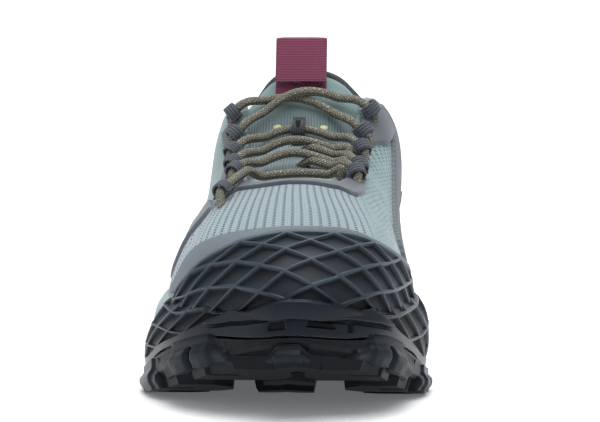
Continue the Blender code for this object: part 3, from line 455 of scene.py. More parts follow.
def wall(row, up):
    """The shoe's skin: foam from its foot (up 0) to the feather line (1), then upper (to 2)."""
    row, up = alike(row, up)
    bulge, shoulder = np.moveaxis(through(FOAM, from_toe(row)) * BALL_WIDTH, -1, 0)
    foot, line, out, top = foot_line(row), feather(row), outward(row), top_edge(row)
    height = (line - foot) * [0.0, 0.0, 1.0]
    low = foot + out * bulge[..., None] + 0.4 * height
    high = line + out * shoulder[..., None] - 0.1 * height
    foam = bezier(foot, low, high, line, np.clip(up, 0.0, 1.0))
    columns = shape(row)
    lift, reach, drop = (columns[..., k][..., None] for k in (7, 9, 11))
    flare, swell = (columns[..., k][..., None] * BALL_WIDTH for k in (8, 10))
    level, rise = (top - line) * [1.0, 1.0, 0.0], (top - line) * [0.0, 0.0, 1.0]
    low = line + out * flare + rise * lift
    high = top - level * reach + out * swell - rise * drop
    upper = bezier(line, low, high, top, np.clip(up - 1.0, 0.0, 1.0))
    return np.where((up < 1.0)[..., None], foam, upper) + CENTRE


def wall_normal(row, up):
    """The direction out of the skin."""
    row, up = alike(row, up)
    low, high = np.clip(up - 0.02, 0.0, 1.98), np.clip(up + 0.02, 0.02, 2.0)
    forward = wall(row + 0.04, up) - wall(row - 0.04, up)
    return unit(np.cross(forward, wall(row, high) - wall(row, low)))


def off_wall(row, up, distance):
    """A point at a distance out from the skin."""
    distance = np.broadcast_to(distance, np.broadcast(row, up).shape)
    return wall(row, up) + wall_normal(row, up) * distance[..., None]


def ripple(value, middle, width):
    """A soft ridge, 1 at its middle and gone a few widths away."""
    return np.exp(-(((value - middle) / width) ** 2))


def knit_folds(row, up):
    """Soft troughs beside the flex line and at the heel, in metres."""
    side = from_toe(row)
    flex = ripple(side, 3.3 + 0.5 * up, 0.22) + 0.8 * ripple(side, 4.1 + 0.6 * up, 0.2)
    ankle = ripple(side, 7.0 + 0.9 * (1.0 - up), 0.24) + 0.6 * ripple(side, 7.9 - 0.4 * up, 0.2)
    return -0.0006 * flex * ripple(up, 0.45, 0.22) - 0.0007 * ankle * ripple(up, 0.55, 0.25)


UPPER_WALL = 0.0022
COLLAR_PADDING = 0.0045
COLLAR_ROLL = 0.0016
RIM_STAND = 0.9
WALE_SPACING = 0.0026
COURSE_SPACING = 0.0017
HOLE_SPACING = 0.0029
UPPER_COLUMNS = 384
UPPER_LAYERS = 112
RIM_LAYERS = 7
UP_GAP = np.array([0.0, 0.0, GAP])
upper_rows = np.arange(UPPER_COLUMNS) * (ROWS / UPPER_COLUMNS)
row_grid, up_grid = np.meshgrid(upper_rows, shares(UPPER_LAYERS))
side_rows = from_toe(row_grid)
medial = row_grid < 0.5 * ROWS
padded_part = smooth(6.2, 7.6, side_rows) * smooth(0.45, 0.8, up_grid)
roll = padded_part * ripple(up_grid, 0.86, 0.11) * COLLAR_ROLL
outer = off_wall(row_grid, 1.0 + up_grid, knit_folds(row_grid, up_grid) + roll) + UP_GAP
thickness = UPPER_WALL + COLLAR_PADDING * padded_part * (1.0 - 0.55 * smooth(0.9, 1.0, up_grid))
inner = off_wall(row_grid, 1.0 + up_grid, -thickness) + UP_GAP
rim_turn = np.linspace(0.0, math.pi, RIM_LAYERS + 2)[1:-1, None, None]
rim_middle, rim_half = 0.5 * (outer[-1] + inner[-1]), 0.5 * (outer[-1] - inner[-1])
rim_up = unit(outer[-1] - outer[-4]) * np.linalg.norm(rim_half, axis=-1, keepdims=True)
rim = rim_middle + rim_half * np.cos(rim_turn) + rim_up * np.sin(rim_turn) * RIM_STAND
shell = np.concatenate([outer, rim, inner[::-3]])
lined = [np.zeros(UPPER_LAYERS), smooth(2, 6, np.arange(RIM_LAYERS)), np.ones(len(inner[::-3]))]
toward_heel = smooth(-0.125, -0.045, outer[..., 1])
spread = 1.0 + 0.34 * smooth(-0.045, -0.12, outer[..., 1]) + 0.25 * smooth(-0.045, 0.02, outer[..., 1])
wale = (outer[..., 0] - (0.0075 - 0.0035 * toward_heel)) / (WALE_SPACING * spread)
past_vamp = side_rows - np.where(medial, 1.9 + (up_grid - 0.45) * 2.4, 4.2)
pierced = medial * smooth(-0.1, 0.5, past_vamp - 0.15) * smooth(0.3, 0.5, up_grid)
pierced = pierced * smooth(6.9, 6.6, side_rows)
striped = ~medial * smooth(4.4, 4.6, side_rows) * smooth(7.2, 6.8, side_rows)
# The outer layer whose numbers each layer of the shell takes, over the rim and down inside
layers = np.arange(UPPER_LAYERS)
carried = np.concatenate([layers, np.repeat(layers[-1:], RIM_LAYERS), layers[::-3]])
knit = Finish("knit", roughness=0.88, sheen_weight=0.25, sheen_roughness=0.5)
columns_across, courses = knit.attribute("wale"), knit.attribute("course")
is_mint, is_pierced, is_striped = (knit.attribute(each) for each in ("mint", "pierced", "striped"))
pin = columns_across.off_middle().rise(0.2, 0.11) * courses.off_middle().rise(0.3, 0.18)
pin = pin * (1.0 - is_mint)
fine_rib, stitch = (columns_across * 3.0).wave(), courses.wave()
knit_y, knit_z = knit.along("Y"), knit.along("Z")
hole = ((knit_y + knit_z) / HOLE_SPACING).off_middle().rise(0.26, 0.16)
hole = hole * ((knit_y - knit_z) / HOLE_SPACING).off_middle().rise(0.26, 0.16)
hole = hole * is_pierced * knit.noise(0.014).rise(0.25, 0.5)
stripes = (knit_z + knit_y * 0.7).wave(0.003) * is_striped
knit_colour = knit.coats(
    (138, 156, 164),
    (is_mint, (128, 152, 153)),
    (fine_rib * stitch * 0.35 * (1.0 - is_mint), (172, 190, 197)),
    (knit.noise(0.0012, 3.0) * 0.25, (128, 150, 156)),
    (stripes * 0.8, (96, 118, 121)),
    # The pinholes and perforations are painted near-black: painted shade inside the holes.
    ((pin * 0.88).larger(hole * 0.8), (24, 34, 40)),
    (knit.attribute("inside"), (92, 104, 106)),
)
knit_relief = fine_rib * 0.35 + stitch * 0.25 - pin * 1.1 - hole * 0.9 + stripes * 0.5
knit.shows(knit_colour, height=knit_relief, depth=0.00035)
upper = surface(
    "upper_knit",
    shell,
    knit,
    wrap=(True, True),
    wale=wale[carried],
    course=way_along(outer)[carried] / COURSE_SPACING,
    mint=smooth(-0.3, 0.35, past_vamp)[carried],
    pierced=pierced[carried],
    striped=striped[carried],
    inside=np.concatenate(lined)[:, None],
)
worn(upper, "knit", "upper")

# Film overlays
# Thin grey film, fused on the knit: a ribbed band over the toe guard, the two eyestays,
# the strap that ties the outer one to the sole, the saddle inside the arch, the counter.
FILM_THICKNESS = 0.001
FILM_SINK = 0.0006
FILM_EDGE_STEPS = 1.5
BAND_ENDS = (-3.3, 3.15)
BAND_LAYERS = 22
BAND_GAP = 0.002
STRAP_TUCK = 0.014
STRAP_END = 0.035
# Row, the guard's and the band's tops as shares of the upper, the chin's top in the guard
TOE_COVER = [
    (-4.2, 0.02, 0.05, 0.06), (-3.3, 0.03, 0.1, 0.08), (-2.7, 0.085, 0.34, 0.1),
    (-2.2, 0.17, 0.43, 0.1), (-1.7, 0.3, 0.475, 0.13), (-1.4, 0.355, 0.495, 0.165),
    (-1.0, 0.415, 0.51, 0.225), (0.0, 0.468, 0.528, 0.28), (0.9, 0.455, 0.515, 0.25),
    (1.4, 0.432, 0.49, 0.2), (1.8, 0.395, 0.45, 0.15), (2.2, 0.348, 0.4, 0.11),
    (3.0, 0.23, 0.28, 0.08), (3.5, 0.145, 0.205, 0.07), (4.1, 0.05, 0.12, 0.06),
    (4.7, 0.02, 0.06, 0.02),
]
# Row, and the film's free edge as a share of the way up the upper
MEDIAL_EYESTAY = [
    (-0.4, 0.955), (0.5, 0.955), (1.9, 0.93), (2.6, 0.8), (3.2, 0.79), (4.2, 0.835),
    (5.0, 0.842), (5.75, 0.86), (5.98, 0.8), (6.25, 0.68), (6.6, 0.64), (6.9, 0.64),
]
LATERAL_EYESTAY = [
    (0.2, 0.96), (1.2, 0.95), (2.4, 0.9), (3.3, 0.72), (4.3, 0.72), (4.7, 0.78),
    (5.4, 0.79), (6.45, 0.74),
]
SADDLE = [
    (3.8, 0.36), (4.6, 0.41), (5.4, 0.47), (6.0, 0.56), (6.5, 0.66), (6.75, 0.92),
    (7.3, 0.9), (7.85, 0.8),
]
COUNTER = [(7.95, 0.42), (9.0, 0.5), (10.0, 0.56), (11.0, 0.5), (12.2, 0.4)]


def overlay(name, rows, ups, thick, finish, node):
    """Film on the skin: thick in its middle, its edge rounded down into the knit."""
    layers, count = rows.shape
    edge = np.minimum(np.arange(layers), np.arange(layers)[::-1])[:, None] / FILM_EDGE_STEPS
    ends = np.minimum(np.arange(count), np.arange(count)[::-1]) / FILM_EDGE_STEPS
    full = np.clip(edge, 0.0, 1.0) ** 0.6 * np.clip(ends, 0.0, 1.0) ** 0.6
    height = (thick + 2.0 * FILM_SINK) * full - FILM_SINK + knit_folds(rows, ups - 1.0)
    place = off_wall(rows, ups, height) + UP_GAP
    high = shares(layers)[:, None]
    facing = wall_normal(rows, ups)
    worn(surface(name, place, finish, facing=facing, walked=way_along(place, 1), high=high), "film", node)


film = Finish("film", roughness=0.55, sheen_weight=0.15)
film_grain = film.noise(0.0006, 3.0)
film_colour = film.coats((80, 86, 94), (film.noise(0.02), (94, 100, 108)), (film_grain * 0.35, (68, 74, 82)))
film.shows(film_colour, roughness=film_grain * 0.2 + 0.45, height=film_grain, depth=0.00008)
ribbed_film = Finish("ribbed film", roughness=0.55)
band_ribs = ribbed_film.attribute("walked").wave(0.00125)
band_edge = ribbed_film.attribute("high").off_middle().rise(0.42, 0.46)
band_colour = ribbed_film.coats((88, 97, 106), (band_ribs, (118, 128, 137)), (band_edge, (96, 105, 114)))
ribbed_film.shows(band_colour, height=band_ribs * (1.0 - band_edge), depth=0.00025)
panel_film = Finish("panel film", roughness=0.6)
panel_lines = (panel_film.along("Y") * 0.55 + panel_film.along("Z")).wave(0.0034)
panel_relief = panel_lines + panel_film.noise(0.0007, 3.0) * 0.3
panel_film.shows(
    panel_film.coats((84, 92, 99), (panel_lines * 0.6, (104, 112, 120))), height=panel_relief, depth=0.0003
)
band_rows = np.linspace(*BAND_ENDS, 260) + np.zeros((BAND_LAYERS, 1))
band_low, band_high, _ = np.moveaxis(through(TOE_COVER, band_rows), -1, 0)
band_low = band_low + BAND_GAP
band_wide = np.maximum(band_high - band_low, 0.01)
band_ups = 1.0 + band_low + band_wide * shares(BAND_LAYERS)[:, None]
overlay("toe_band_film", band_rows, band_ups, 0.0007, ribbed_film, "toe_band")
# Name, free edge, fixed edge, side of the shoe, columns, layers, thickness, finish, CAD node
STRIPS = [
    ("eyestay_medial_film", MEDIAL_EYESTAY, 0.985, 1, 170, 24, FILM_THICKNESS, film, "eyestay_medial"),
    ("eyestay_lateral_film", LATERAL_EYESTAY, 0.985, -1, 170, 24, FILM_THICKNESS, film, "eyestay_lateral"),
    ("saddle_film", SADDLE, 0.04, 1, 160, 60, FILM_THICKNESS, panel_film, "saddle_medial"),
    ("counter_film", COUNTER, 0.03, 1, 200, 44, 0.0016, film, "heel_counter"),
]
for name, table, fixed, side, columns, layers, thick, finish, node in STRIPS:
    strip_rows = np.linspace(table[0][0], table[-1][0], columns) + np.zeros((layers, 1))
    free = through(table, strip_rows)[..., 0]
    low, high = np.minimum(free, fixed), np.maximum(free, fixed)
    strip_ups = 1.0 + low + (high - low) * shares(layers)[:, None]
    overlay(name, side * strip_rows, strip_ups, thick, finish, node)
down = shares(60)[:, None]
strap_front, strap_rear = 3.45 + 1.05 * down, 4.2 + 1.15 * down
strap_rows = strap_front + (strap_rear - strap_front) * shares(30)
strap_start = through(LATERAL_EYESTAY, strap_rows)[..., 0] - STRAP_TUCK
strap_ups = 1.0 + strap_start + (STRAP_END - strap_start) * down
overlay("strap_film", -strap_rows, strap_ups, FILM_THICKNESS, film, "strap_lateral")

# Midsole
# A thick foam block under the whole foot, moulded with a groove along its side and
# shallow diagonal cuts. It has the fine skin of moulded foam, and the upper is glued on it.
FOAM_COLUMNS = 420
FOAM_LAYERS = 70
GROOVE_DEPTH = 0.0017
UPPER_GROOVE_DEPTH = 0.0009
CUT_DEPTH = 0.0014
foam_columns = np.arange(FOAM_COLUMNS) * (ROWS / FOAM_COLUMNS)
foam_rows, foam_ups = np.meshgrid(foam_columns, shares(FOAM_LAYERS))
foam_side = from_toe(foam_rows)
groove = ripple(foam_ups, 0.52 + 0.06 * np.sin(foam_side * 1.3), 0.035)
upper_groove = ripple(foam_ups, 0.82, 0.02) * smooth(3.5, 4.5, foam_side)
cuts = ripple(np.mod(foam_side * 1.6 + foam_ups * 1.2, 1.0), 0.5, 0.08) * ripple(foam_ups, 0.27, 0.11)
foam_relief = -GROOVE_DEPTH * groove - UPPER_GROOVE_DEPTH * upper_groove - CUT_DEPTH * cuts
foam_skin = off_wall(foam_rows, foam_ups, foam_relief)
foam_skin[[0, -1]] = wall(foam_rows[[0, -1]], foam_ups[[0, -1]])
bottoms = [foam_skin[0] * [width, 1.0, 1.0] for width in (0.0, 0.34, 0.67)]
tops = [foam_skin[-1] * [width, 1.0, 1.0] for width in (0.67, 0.34, 0.0)]
foam = Finish("foam", roughness=0.62, subsurface_weight=0.08, subsurface_scale=0.004)
foam_grain = foam.noise(0.0009, 3.0)
foam_colour = foam.coats((142, 161, 162), (foam.noise(0.03), (154, 172, 172)))
foam.shows(foam.coats(foam_colour, (foam_grain * 0.2, (128, 146, 147))), height=foam_grain, depth=0.0001)
midsole = surface("midsole_foam", np.concatenate([bottoms, foam_skin, tops]), foam, wrap=(False, True))
worn(midsole, "foam", "midsole")

# Outsole
# Sticky black-green rubber, moulded in one sheet with its lugs. It keeps its CAD shape
# here, with a worn, slightly dusty surface.
rubber = Finish("rubber", roughness=0.42, specular_ior_level=0.15)
rubber_grain, rubber_dust = rubber.noise(0.0005, 3.0), rubber.noise(0.012, 4.0).rise(0.45, 0.75)
rubber_colour = rubber.coats((13, 17, 22), (rubber_dust * 0.5, (23, 28, 34)))
rubber.shows(rubber_colour, roughness=rubber_grain * 0.25 + 0.32, height=rubber_grain, depth=0.0001)
outsole_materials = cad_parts["outsole"].data.materials
outsole_materials.clear()
outsole_materials.append(rubber.material)

# Toe guard
# The rubber round the toe, moulded in one with a net of crossing ribs over sunk cells
# and a smooth chin under it, glued over the knit and the foam.
RAND_FOOT = 0.03
RAND_ENDS_LOW = (-3.95, 4.2)
RAND_ENDS_HIGH = (-2.3, 3.1)
RAND_STAND = 0.0013
RAND_THICKNESS = 0.0024
RAND_LAYERS = 190
RAND_COLUMNS = 480
LATTICE_ROWS = 6
LIP_START = 0.935
RIB_SPACING = 0.452
RIB_CROSSING = -0.16
CELL_DEPTH = 0.0019
CHIN_MIDDLE = 0.17
CHIN_HALF = 1.73
CHIN_RISE = 0.0014
CHIN_UNDERCUT = 0.001
RECESS_DEPTH = 0.0016
# Middle row, half width in rows, middle layer and half height of the recesses under the chin
CHIN_RECESSES = [(-0.3, 0.13, 0.067, 0.032), (0.43, 0.2, 0.093, 0.04), (0.9, 0.05, 0.07, 0.034)]


def spread_up(row, low, high, share):
    """Heights from low up to high on the skin, at shares of the way measured along it."""
    part, fine = shares(41), shares(101)
    stations = np.linspace(row.min(), row.max(), 90)
    tops = np.interp(stations, row[-1], high[-1])
    length = way_along(wall(stations[:, None], low + (tops - low)[:, None] * part), 1)
    inverse = np.stack([np.interp(fine, each, part) for each in length / length[:, -1:]])
    place = np.clip((row - stations[0]) / (stations[1] - stations[0]), 0, len(stations) - 1.001)
    spot = np.clip(share * 100.0, 0, 99.999)
    i, j = place.astype(int), spot.astype(int)
    f, g = place - i, spot - j
    near = inverse[i, j] * (1 - g) + inverse[i, j + 1] * g
    far = inverse[i + 1, j] * (1 - g) + inverse[i + 1, j + 1] * g
    return low + (high - low) * (near * (1 - f) + far * f)


layer, across = np.meshgrid(shares(RAND_LAYERS), shares(RAND_COLUMNS), indexing="ij")
rand_first = RAND_ENDS_LOW[0] + (RAND_ENDS_HIGH[0] - RAND_ENDS_LOW[0]) * layer
rand_last = RAND_ENDS_LOW[1] + (RAND_ENDS_HIGH[1] - RAND_ENDS_LOW[1]) * layer
rand_rows = rand_first + (rand_last - rand_first) * across
rand_high, _, chin = np.moveaxis(through(TOE_COVER, rand_rows), -1, 0)
rand_ups = spread_up(rand_rows, RAND_FOOT, 1.0 + rand_high, layer)
lattice_up = (layer - chin) / (LIP_START - chin) * LATTICE_ROWS
lattice_across = (rand_rows - RIB_CROSSING) / RIB_SPACING
rising, falling = np.mod(lattice_across + lattice_up, 2.0), np.mod(lattice_across - lattice_up, 2.0)
off_rib = np.minimum(np.minimum(rising, 2.0 - rising), np.minimum(falling, 2.0 - falling))
in_lattice = smooth(0.0, 0.16, lattice_up) * smooth(LATTICE_ROWS, LATTICE_ROWS - 0.16, lattice_up)
in_lattice = in_lattice * smooth(0.004, 0.012, across) * smooth(0.996, 0.988, across)
cell = smooth(0.07, 0.2, off_rib) * in_lattice * (0.62 + 0.19 * (rising - falling))
from_middle = (rand_rows - CHIN_MIDDLE) / CHIN_HALF
chin_low = chin - 0.012 - 0.132 * np.sqrt(np.clip(1.0 - from_middle**2, 0.0, 1.0))
crescent = smooth(0.0, 0.012, layer - chin_low) * smooth(-0.002, -0.014, layer - chin)
crescent = crescent * smooth(1.0, 0.96, np.abs(from_middle))
under_chin = ripple(layer, chin_low - 0.01, 0.009) * smooth(1.0, 0.85, np.abs(from_middle))
recess = 0.0 * layer
for middle, half, height, half_height in CHIN_RECESSES:
    tapered = half * (1.15 - 3.0 * (layer - height))
    within = smooth(1.1, 0.75, np.abs(rand_rows - middle) / tapered)
    recess = recess + within * smooth(1.1, 0.7, np.abs(layer - height) / half_height)
rim_fall = smooth(0.0, 0.006, across) * smooth(0.0, 0.006, 1.0 - across) * smooth(0.0, 0.02, 1.0 - layer)
rand_height = RAND_STAND + RAND_THICKNESS * (0.25 + 0.75 * rim_fall) - CELL_DEPTH * cell
rand_height = rand_height + CHIN_RISE * crescent - CHIN_UNDERCUT * under_chin - RECESS_DEPTH * recess
guard = Finish("guard rubber", roughness=0.38, specular_ior_level=0.22)
guard_cell, guard_grain = guard.attribute("cell"), guard.noise(0.00045, 3.0)
guard_colour = guard.coats(
    (20, 26, 33),
    # Painted light: the upper part of the guard is lighter, as if lit from above, while the chin stays dark.
    (guard.attribute("high"), (64, 76, 86)),
    (guard.noise(0.015, 3.0) * 0.4, (30, 38, 46)),
    # Painted light: the lip along the top edge is lighter still, where it faces the light.
    (guard.attribute("lip"), (84, 95, 103)),
    # Painted shade: the sunk cells, the recesses under the chin and the groove below it are painted
    # near-black.
    (guard_cell * 0.9, (5, 9, 14)),
)
guard_roughness = guard_grain * 0.2 + guard_cell * 0.28 + 0.22
guard.shows(guard_colour, roughness=guard_roughness, height=guard_grain, depth=0.00008)
rand = surface(
    "toe_guard",
    off_wall(rand_rows, rand_ups, rand_height) + UP_GAP,
    guard,
    facing=wall_normal(rand_rows, rand_ups),
    # high marks where light is painted on the upper part, and lip where it is painted on the top edge.
    high=smooth(0.24, 0.42, layer),
    # cell marks where shade is painted and the rubber is rougher: in the cells, the recesses and under the
    # chin.
    cell=np.clip(1.4 * cell + 0.8 * recess + 0.6 * under_chin, 0.0, 1.0),
    lip=smooth(0.93, 0.96, layer) * smooth(2.4, 1.6, np.abs(rand_rows)),
)
worn(rand, "rubber", "toe_rand")

# Toe lugs
# Blocks of the outsole's rubber that climb over its edge round the toe. The larger ones
# have a slot down their face and a scalloped foot.
LUG_STAND = 0.0026
LUG_BACK = 0.007
LUG_SCALLOP = 0.001
LUG_CORNER = 0.004
LUG_BEVEL = 0.0016
LUG_SIDE_STEP = 0.0012
LUG_SLOT_DEPTH = 0.003
# Middle row, half width in rows, foot above the tread, top above the sheet's edge, slot
TOE_LUGS = [
    (-3.25, 0.6, 0.0, 0.0002, 0.0),
    (-1.77, 0.7, 0.002, 0.0016, 1.0),
    (-0.09, 0.37, -0.0008, -0.0022, 0.0),
    (1.7, 0.8, 0.002, 0.0016, 1.0),
    (3.5, 0.6, 0.0, 0.0002, 1.0),
]
lug_rubber = Finish("lug rubber", roughness=0.36, specular_ior_level=0.12)
lug_grain = lug_rubber.noise(0.0006, 3.0)
lug_colour = lug_rubber.coats(
    # Painted shade: the lugs' side and top edges, the slot down their face and their backs are painted
    # near-black.
    (19, 25, 31), (lug_rubber.noise(0.01, 3.0), (30, 37, 44)), (lug_rubber.attribute("seam"), (6, 8, 10))
)
lug_rubber.shows(lug_colour, roughness=lug_grain * 0.2 + 0.26, height=lug_grain, depth=0.00008)
wide, tall = np.meshgrid(np.linspace(-1.0, 1.0, 90), shares(44))
below_top = smooth(0.72, 0.62, tall)
lug_bevels = smooth(0.45, 0.75, tall) + 1.0 - smooth(0.0, 0.35, tall)
lug_face = LUG_STAND - LUG_BEVEL * lug_bevels - LUG_SIDE_STEP * smooth(0.5, 0.62, np.abs(wide))
for number, (middle, half, foot, top, slot) in enumerate(TOE_LUGS):
    lug_rows = middle + half * wide
    plan, out = outline(lug_rows), outward(lug_rows)
    scallop = LUG_SCALLOP * np.abs(np.cos(1.5 * math.pi * wide)) * slot
    low = tread(plan[..., 1]) + foot + scallop
    high = sheet_top(plan[..., 1]) + top - LUG_CORNER * np.clip((np.abs(wide) - 0.5) / 0.5, 0.0, 1.0)
    face = lug_face - LUG_SLOT_DEPTH * slot * ripple(wide, 0.02, 0.055) * below_top
    front = (face + LUG_BACK) * np.sqrt(smooth(0.0, 0.13, 1.0 - np.abs(wide))) - LUG_BACK
    plan[..., 2] = low + (high - low) * tall
    front_face = plan + CENTRE + out * front[..., None]
    back_face = plan + CENTRE - out * LUG_BACK
    # Painted shade along the lug's sides and top edge and in its slot, and over its whole back.
    seam = smooth(0.11, 0.05, np.minimum(1.0 - np.abs(wide), (1.0 - tall) * 0.8))
    seam = np.maximum(seam, slot * ripple(wide, 0.02, 0.05) * below_top)
    lug = surface(
        f"toe_lug_{number}",
        np.concatenate([front_face, back_face[::-1]]),
        lug_rubber,
        wrap=(True, False),
        facing=np.concatenate([out, -out]),
        seam=np.concatenate([seam, 1.0 + 0.0 * seam]),
    )
    worn(lug, "rubber")

# Tongue
# A padded tongue of grey-mint knit, tucked under the eyestays, with a bound rim at its
# top. Foam between two cloths fills it.
TONGUE_THICKNESS = 0.005
TONGUE_RISE = 0.024
TONGUE_SWELL = 0.0016
TONGUE_CROWN = 0.28
TONGUE_DEPTH = UPPER_WALL + 0.001
TONGUE_SIDE = 1.16
TONGUE_TUCK = 0.02
TUCK_LAYERS = 7
RIM_RADIUS = 0.0021


def saddle_curve(row, across):
    """The instep over the throat: -1 on its outer edge, 1 on its inner edge, beyond it on the upper."""
    row, across = alike(row, across)
    left, right = wall(-row, 2.0), wall(row, 2.0)
    pull = 0.3 * np.linalg.norm(right - left, axis=-1, keepdims=True)
    lift_left, lift_right = unit(left - wall(-row, 1.97)), unit(right - wall(row, 1.97))
    share = np.clip(0.5 + 0.5 * across, 0.0, 1.0)
    middle = bezier(left, left + lift_left * pull, right + lift_right * pull, right, share)
    past = np.clip(np.abs(across) - 1.0, 0.0, None)
    return np.where((past > 0)[..., None], wall(np.sign(across) * row, 2.0 - past), middle)


def saddle_place(row, across, height):
    """A point off the instep, along its own normal."""
    row, across = alike(row, across)
    along = saddle_curve(row + 0.05, across) - saddle_curve(row - 0.05, across)
    over = saddle_curve(row, across + 0.03) - saddle_curve(row, across - 0.03)
    return saddle_curve(row, across) + unit(np.cross(over, along)) * np.asarray(height, float)[..., None]


tongue_across = np.sin(np.linspace(-0.5 * math.pi, 0.5 * math.pi, 61)) * TONGUE_SIDE
tongue_grid = np.meshgrid(np.linspace(2.0, 6.2, 80), tongue_across, indexing="ij")
from_side = 1.0 - (tongue_across / TONGUE_SIDE) ** 4
puff = np.sqrt(np.clip(from_side, 0.0, 1.0))
tongue_top = saddle_place(*tongue_grid, -TONGUE_DEPTH)
tongue_under = saddle_place(*tongue_grid, -TONGUE_DEPTH - TONGUE_THICKNESS * puff)
base_middle = tongue_top[-1].mean(axis=0)
climbing = shares(36)[1:, None, None]
narrow = 1.0 + (0.3 * climbing - 0.48 * climbing**2) * [1.0, 0.0, 0.0]
crown = from_side[:, None] * climbing**2 * TONGUE_CROWN * TONGUE_RISE * [0.0, 0.0, 1.0]
shift = base_middle + TONGUE_RISE * climbing * [0.06, 0.7, 0.5] + crown
lift_top, lift_under = ((base[-1] - base_middle) * narrow + shift for base in (tongue_top, tongue_under))
half = 0.5 * (lift_top + lift_under)
closing = np.sqrt(np.clip(1.0 - smooth(0.72, 1.0, climbing) ** 2, 0.0, 1.0))
swell = ripple(climbing, 0.55, 0.4) * from_side[:, None] * TONGUE_SWELL
lift_top = half + (lift_top - half) * closing + swell * [0.0, -0.6, 0.8]
lift_under = half + (lift_under - half) * closing
tongue_outer = np.concatenate([tongue_top, lift_top])
tongue_inner = np.concatenate([tongue_under, lift_under])
tongue_ring = np.concatenate([tongue_outer, tongue_inner[:, -2:0:-1]], axis=1)
tuck = np.linspace(TONGUE_TUCK, 0.0, TUCK_LAYERS + 1)[:-1, None, None]
tucked = unit(tongue_ring[:1] - tongue_ring[8:9]) * tuck
tongue_ring = np.concatenate([tongue_ring[:1] + tucked * [1.0, 1.0, 0.75], tongue_ring])
tongue_knit = Finish("tongue knit", roughness=0.9, sheen_weight=0.3)
tongue_place = tongue_knit.attribute("station")
tongue_ribs = tongue_knit.along("X").wave(0.00125)
upper_pad, low_part = tongue_place.rise(76.0, 84.0), tongue_place.rise(36.0, 26.0)
tongue_colour = tongue_knit.coats(
    (104, 120, 125),
    (tongue_ribs * 0.7, (146, 162, 166)),
    (upper_pad, (122, 146, 146)),
    (low_part, (150, 162, 160)),
    (tongue_knit.noise(0.001, 3.0) * 0.3, (116, 134, 136)),
)
tongue_relief = tongue_ribs * (1.0 - upper_pad) * (1.0 - low_part) + tongue_knit.noise(0.0006) * 0.5
tongue_knit.shows(tongue_colour, height=tongue_relief, depth=0.0003)
tongue_station = np.arange(len(tongue_ring))[:, None] - TUCK_LAYERS
tongue = surface("tongue_pad", tongue_ring, tongue_knit, wrap=(False, True), station=tongue_station)
worn(tongue, "lining", "tongue")


def cord_tube(name, line, radius, finish, reference=(0.0, -0.3, 1.0)):
    """A round cord along a line, its ends rounded off.

    Each ring is cos(angle) times the side vector plus sin(angle) times the upward one.
    """
    ahead = unit(np.gradient(line, axis=0))
    side = unit(np.cross(ahead, reference))
    over = np.cross(side, ahead)
    walked = way_along(line)
    fall = np.clip(np.minimum(walked, walked[-1] - walked) / radius, 0.0, 1.0)
    size = radius * np.sqrt(1.0 - (1.0 - fall) ** 2)
    angle = np.linspace(0.0, 2.0 * math.pi, 16, endpoint=False)
    ring = np.cos(angle)[:, None] * side[:, None, :] + np.sin(angle)[:, None] * over[:, None, :]
    place, turn = line[:, None, :] + ring * size[:, None, None], angle / (2.0 * math.pi)
    return surface(name, place, finish, wrap=(False, True), facing=ring, walked=walked[:, None], turn=turn)


edge_middle = 0.5 * (lift_top + lift_under)
rim_line = np.concatenate([edge_middle[6:, 0], edge_middle[-1, 1:-1], edge_middle[:5:-1, -1]])
rim_walk = way_along(rim_line)
rim_even = np.linspace(0.0, rim_walk[-1], 150)
rim_line = np.stack([np.interp(rim_even, rim_walk, rim_line[:, k]) for k in range(3)], axis=-1)
rim_line = np.pad(rim_line, ((4, 4), (0, 0)), mode="edge")
rim_line = np.stack([np.convolve(rim_line[:, k], np.ones(9) / 9.0, "valid") for k in range(3)], axis=-1)
binding = Finish("binding", roughness=0.7)
binding_ribs = (binding.attribute("walked") + binding.attribute("turn") * 0.001).wave(0.0009)
binding.shows(binding.coats((42, 53, 54), (binding_ribs, (66, 79, 79))), height=binding_ribs, depth=0.0002)
worn(cord_tube("tongue_rim", rim_line, RIM_RADIUS, binding, reference=(0.0, 1.0, 0.6)), "lining")

# Row and place across of the pale dots, and half their width, height and thickness
DOT_PLACES = [(5.98, -0.38), (5.98, 0.42)]
DOT_HALVES = (0.0017, 0.0013, 0.0004)
pale_dot = Finish("pale dot", roughness=0.5)
dot_grain = pale_dot.noise(0.0008)
pale_dot.shows(pale_dot.coats((196, 200, 140), (dot_grain, (222, 224, 170))), height=dot_grain, depth=0.0001)
dot_turns = np.linspace(0.0, math.pi, 13), np.linspace(0.0, 2.0 * math.pi, 25)[:-1]
polar, round_it = np.meshgrid(*dot_turns, indexing="ij")
dot_x, dot_y = np.sin(polar) * np.cos(round_it), np.sin(polar) * np.sin(round_it)
for number, dot_place in enumerate(DOT_PLACES):
    middle = saddle_place(*dot_place, -TONGUE_DEPTH + 0.0002)
    normal = unit(saddle_place(*dot_place, -TONGUE_DEPTH + 0.001) - middle)
    right = unit(np.cross([0.0, 1.0, 0.0], normal))
    disc = right * (DOT_HALVES[0] * dot_x)[..., None]
    disc = disc + np.cross(normal, right) * (DOT_HALVES[1] * dot_y)[..., None]
    disc = disc + normal * (DOT_HALVES[2] * np.cos(polar))[..., None]
    worn(surface(f"tongue_dot_{number}", middle + disc, pale_dot, wrap=(False, True), facing=disc), "lining")

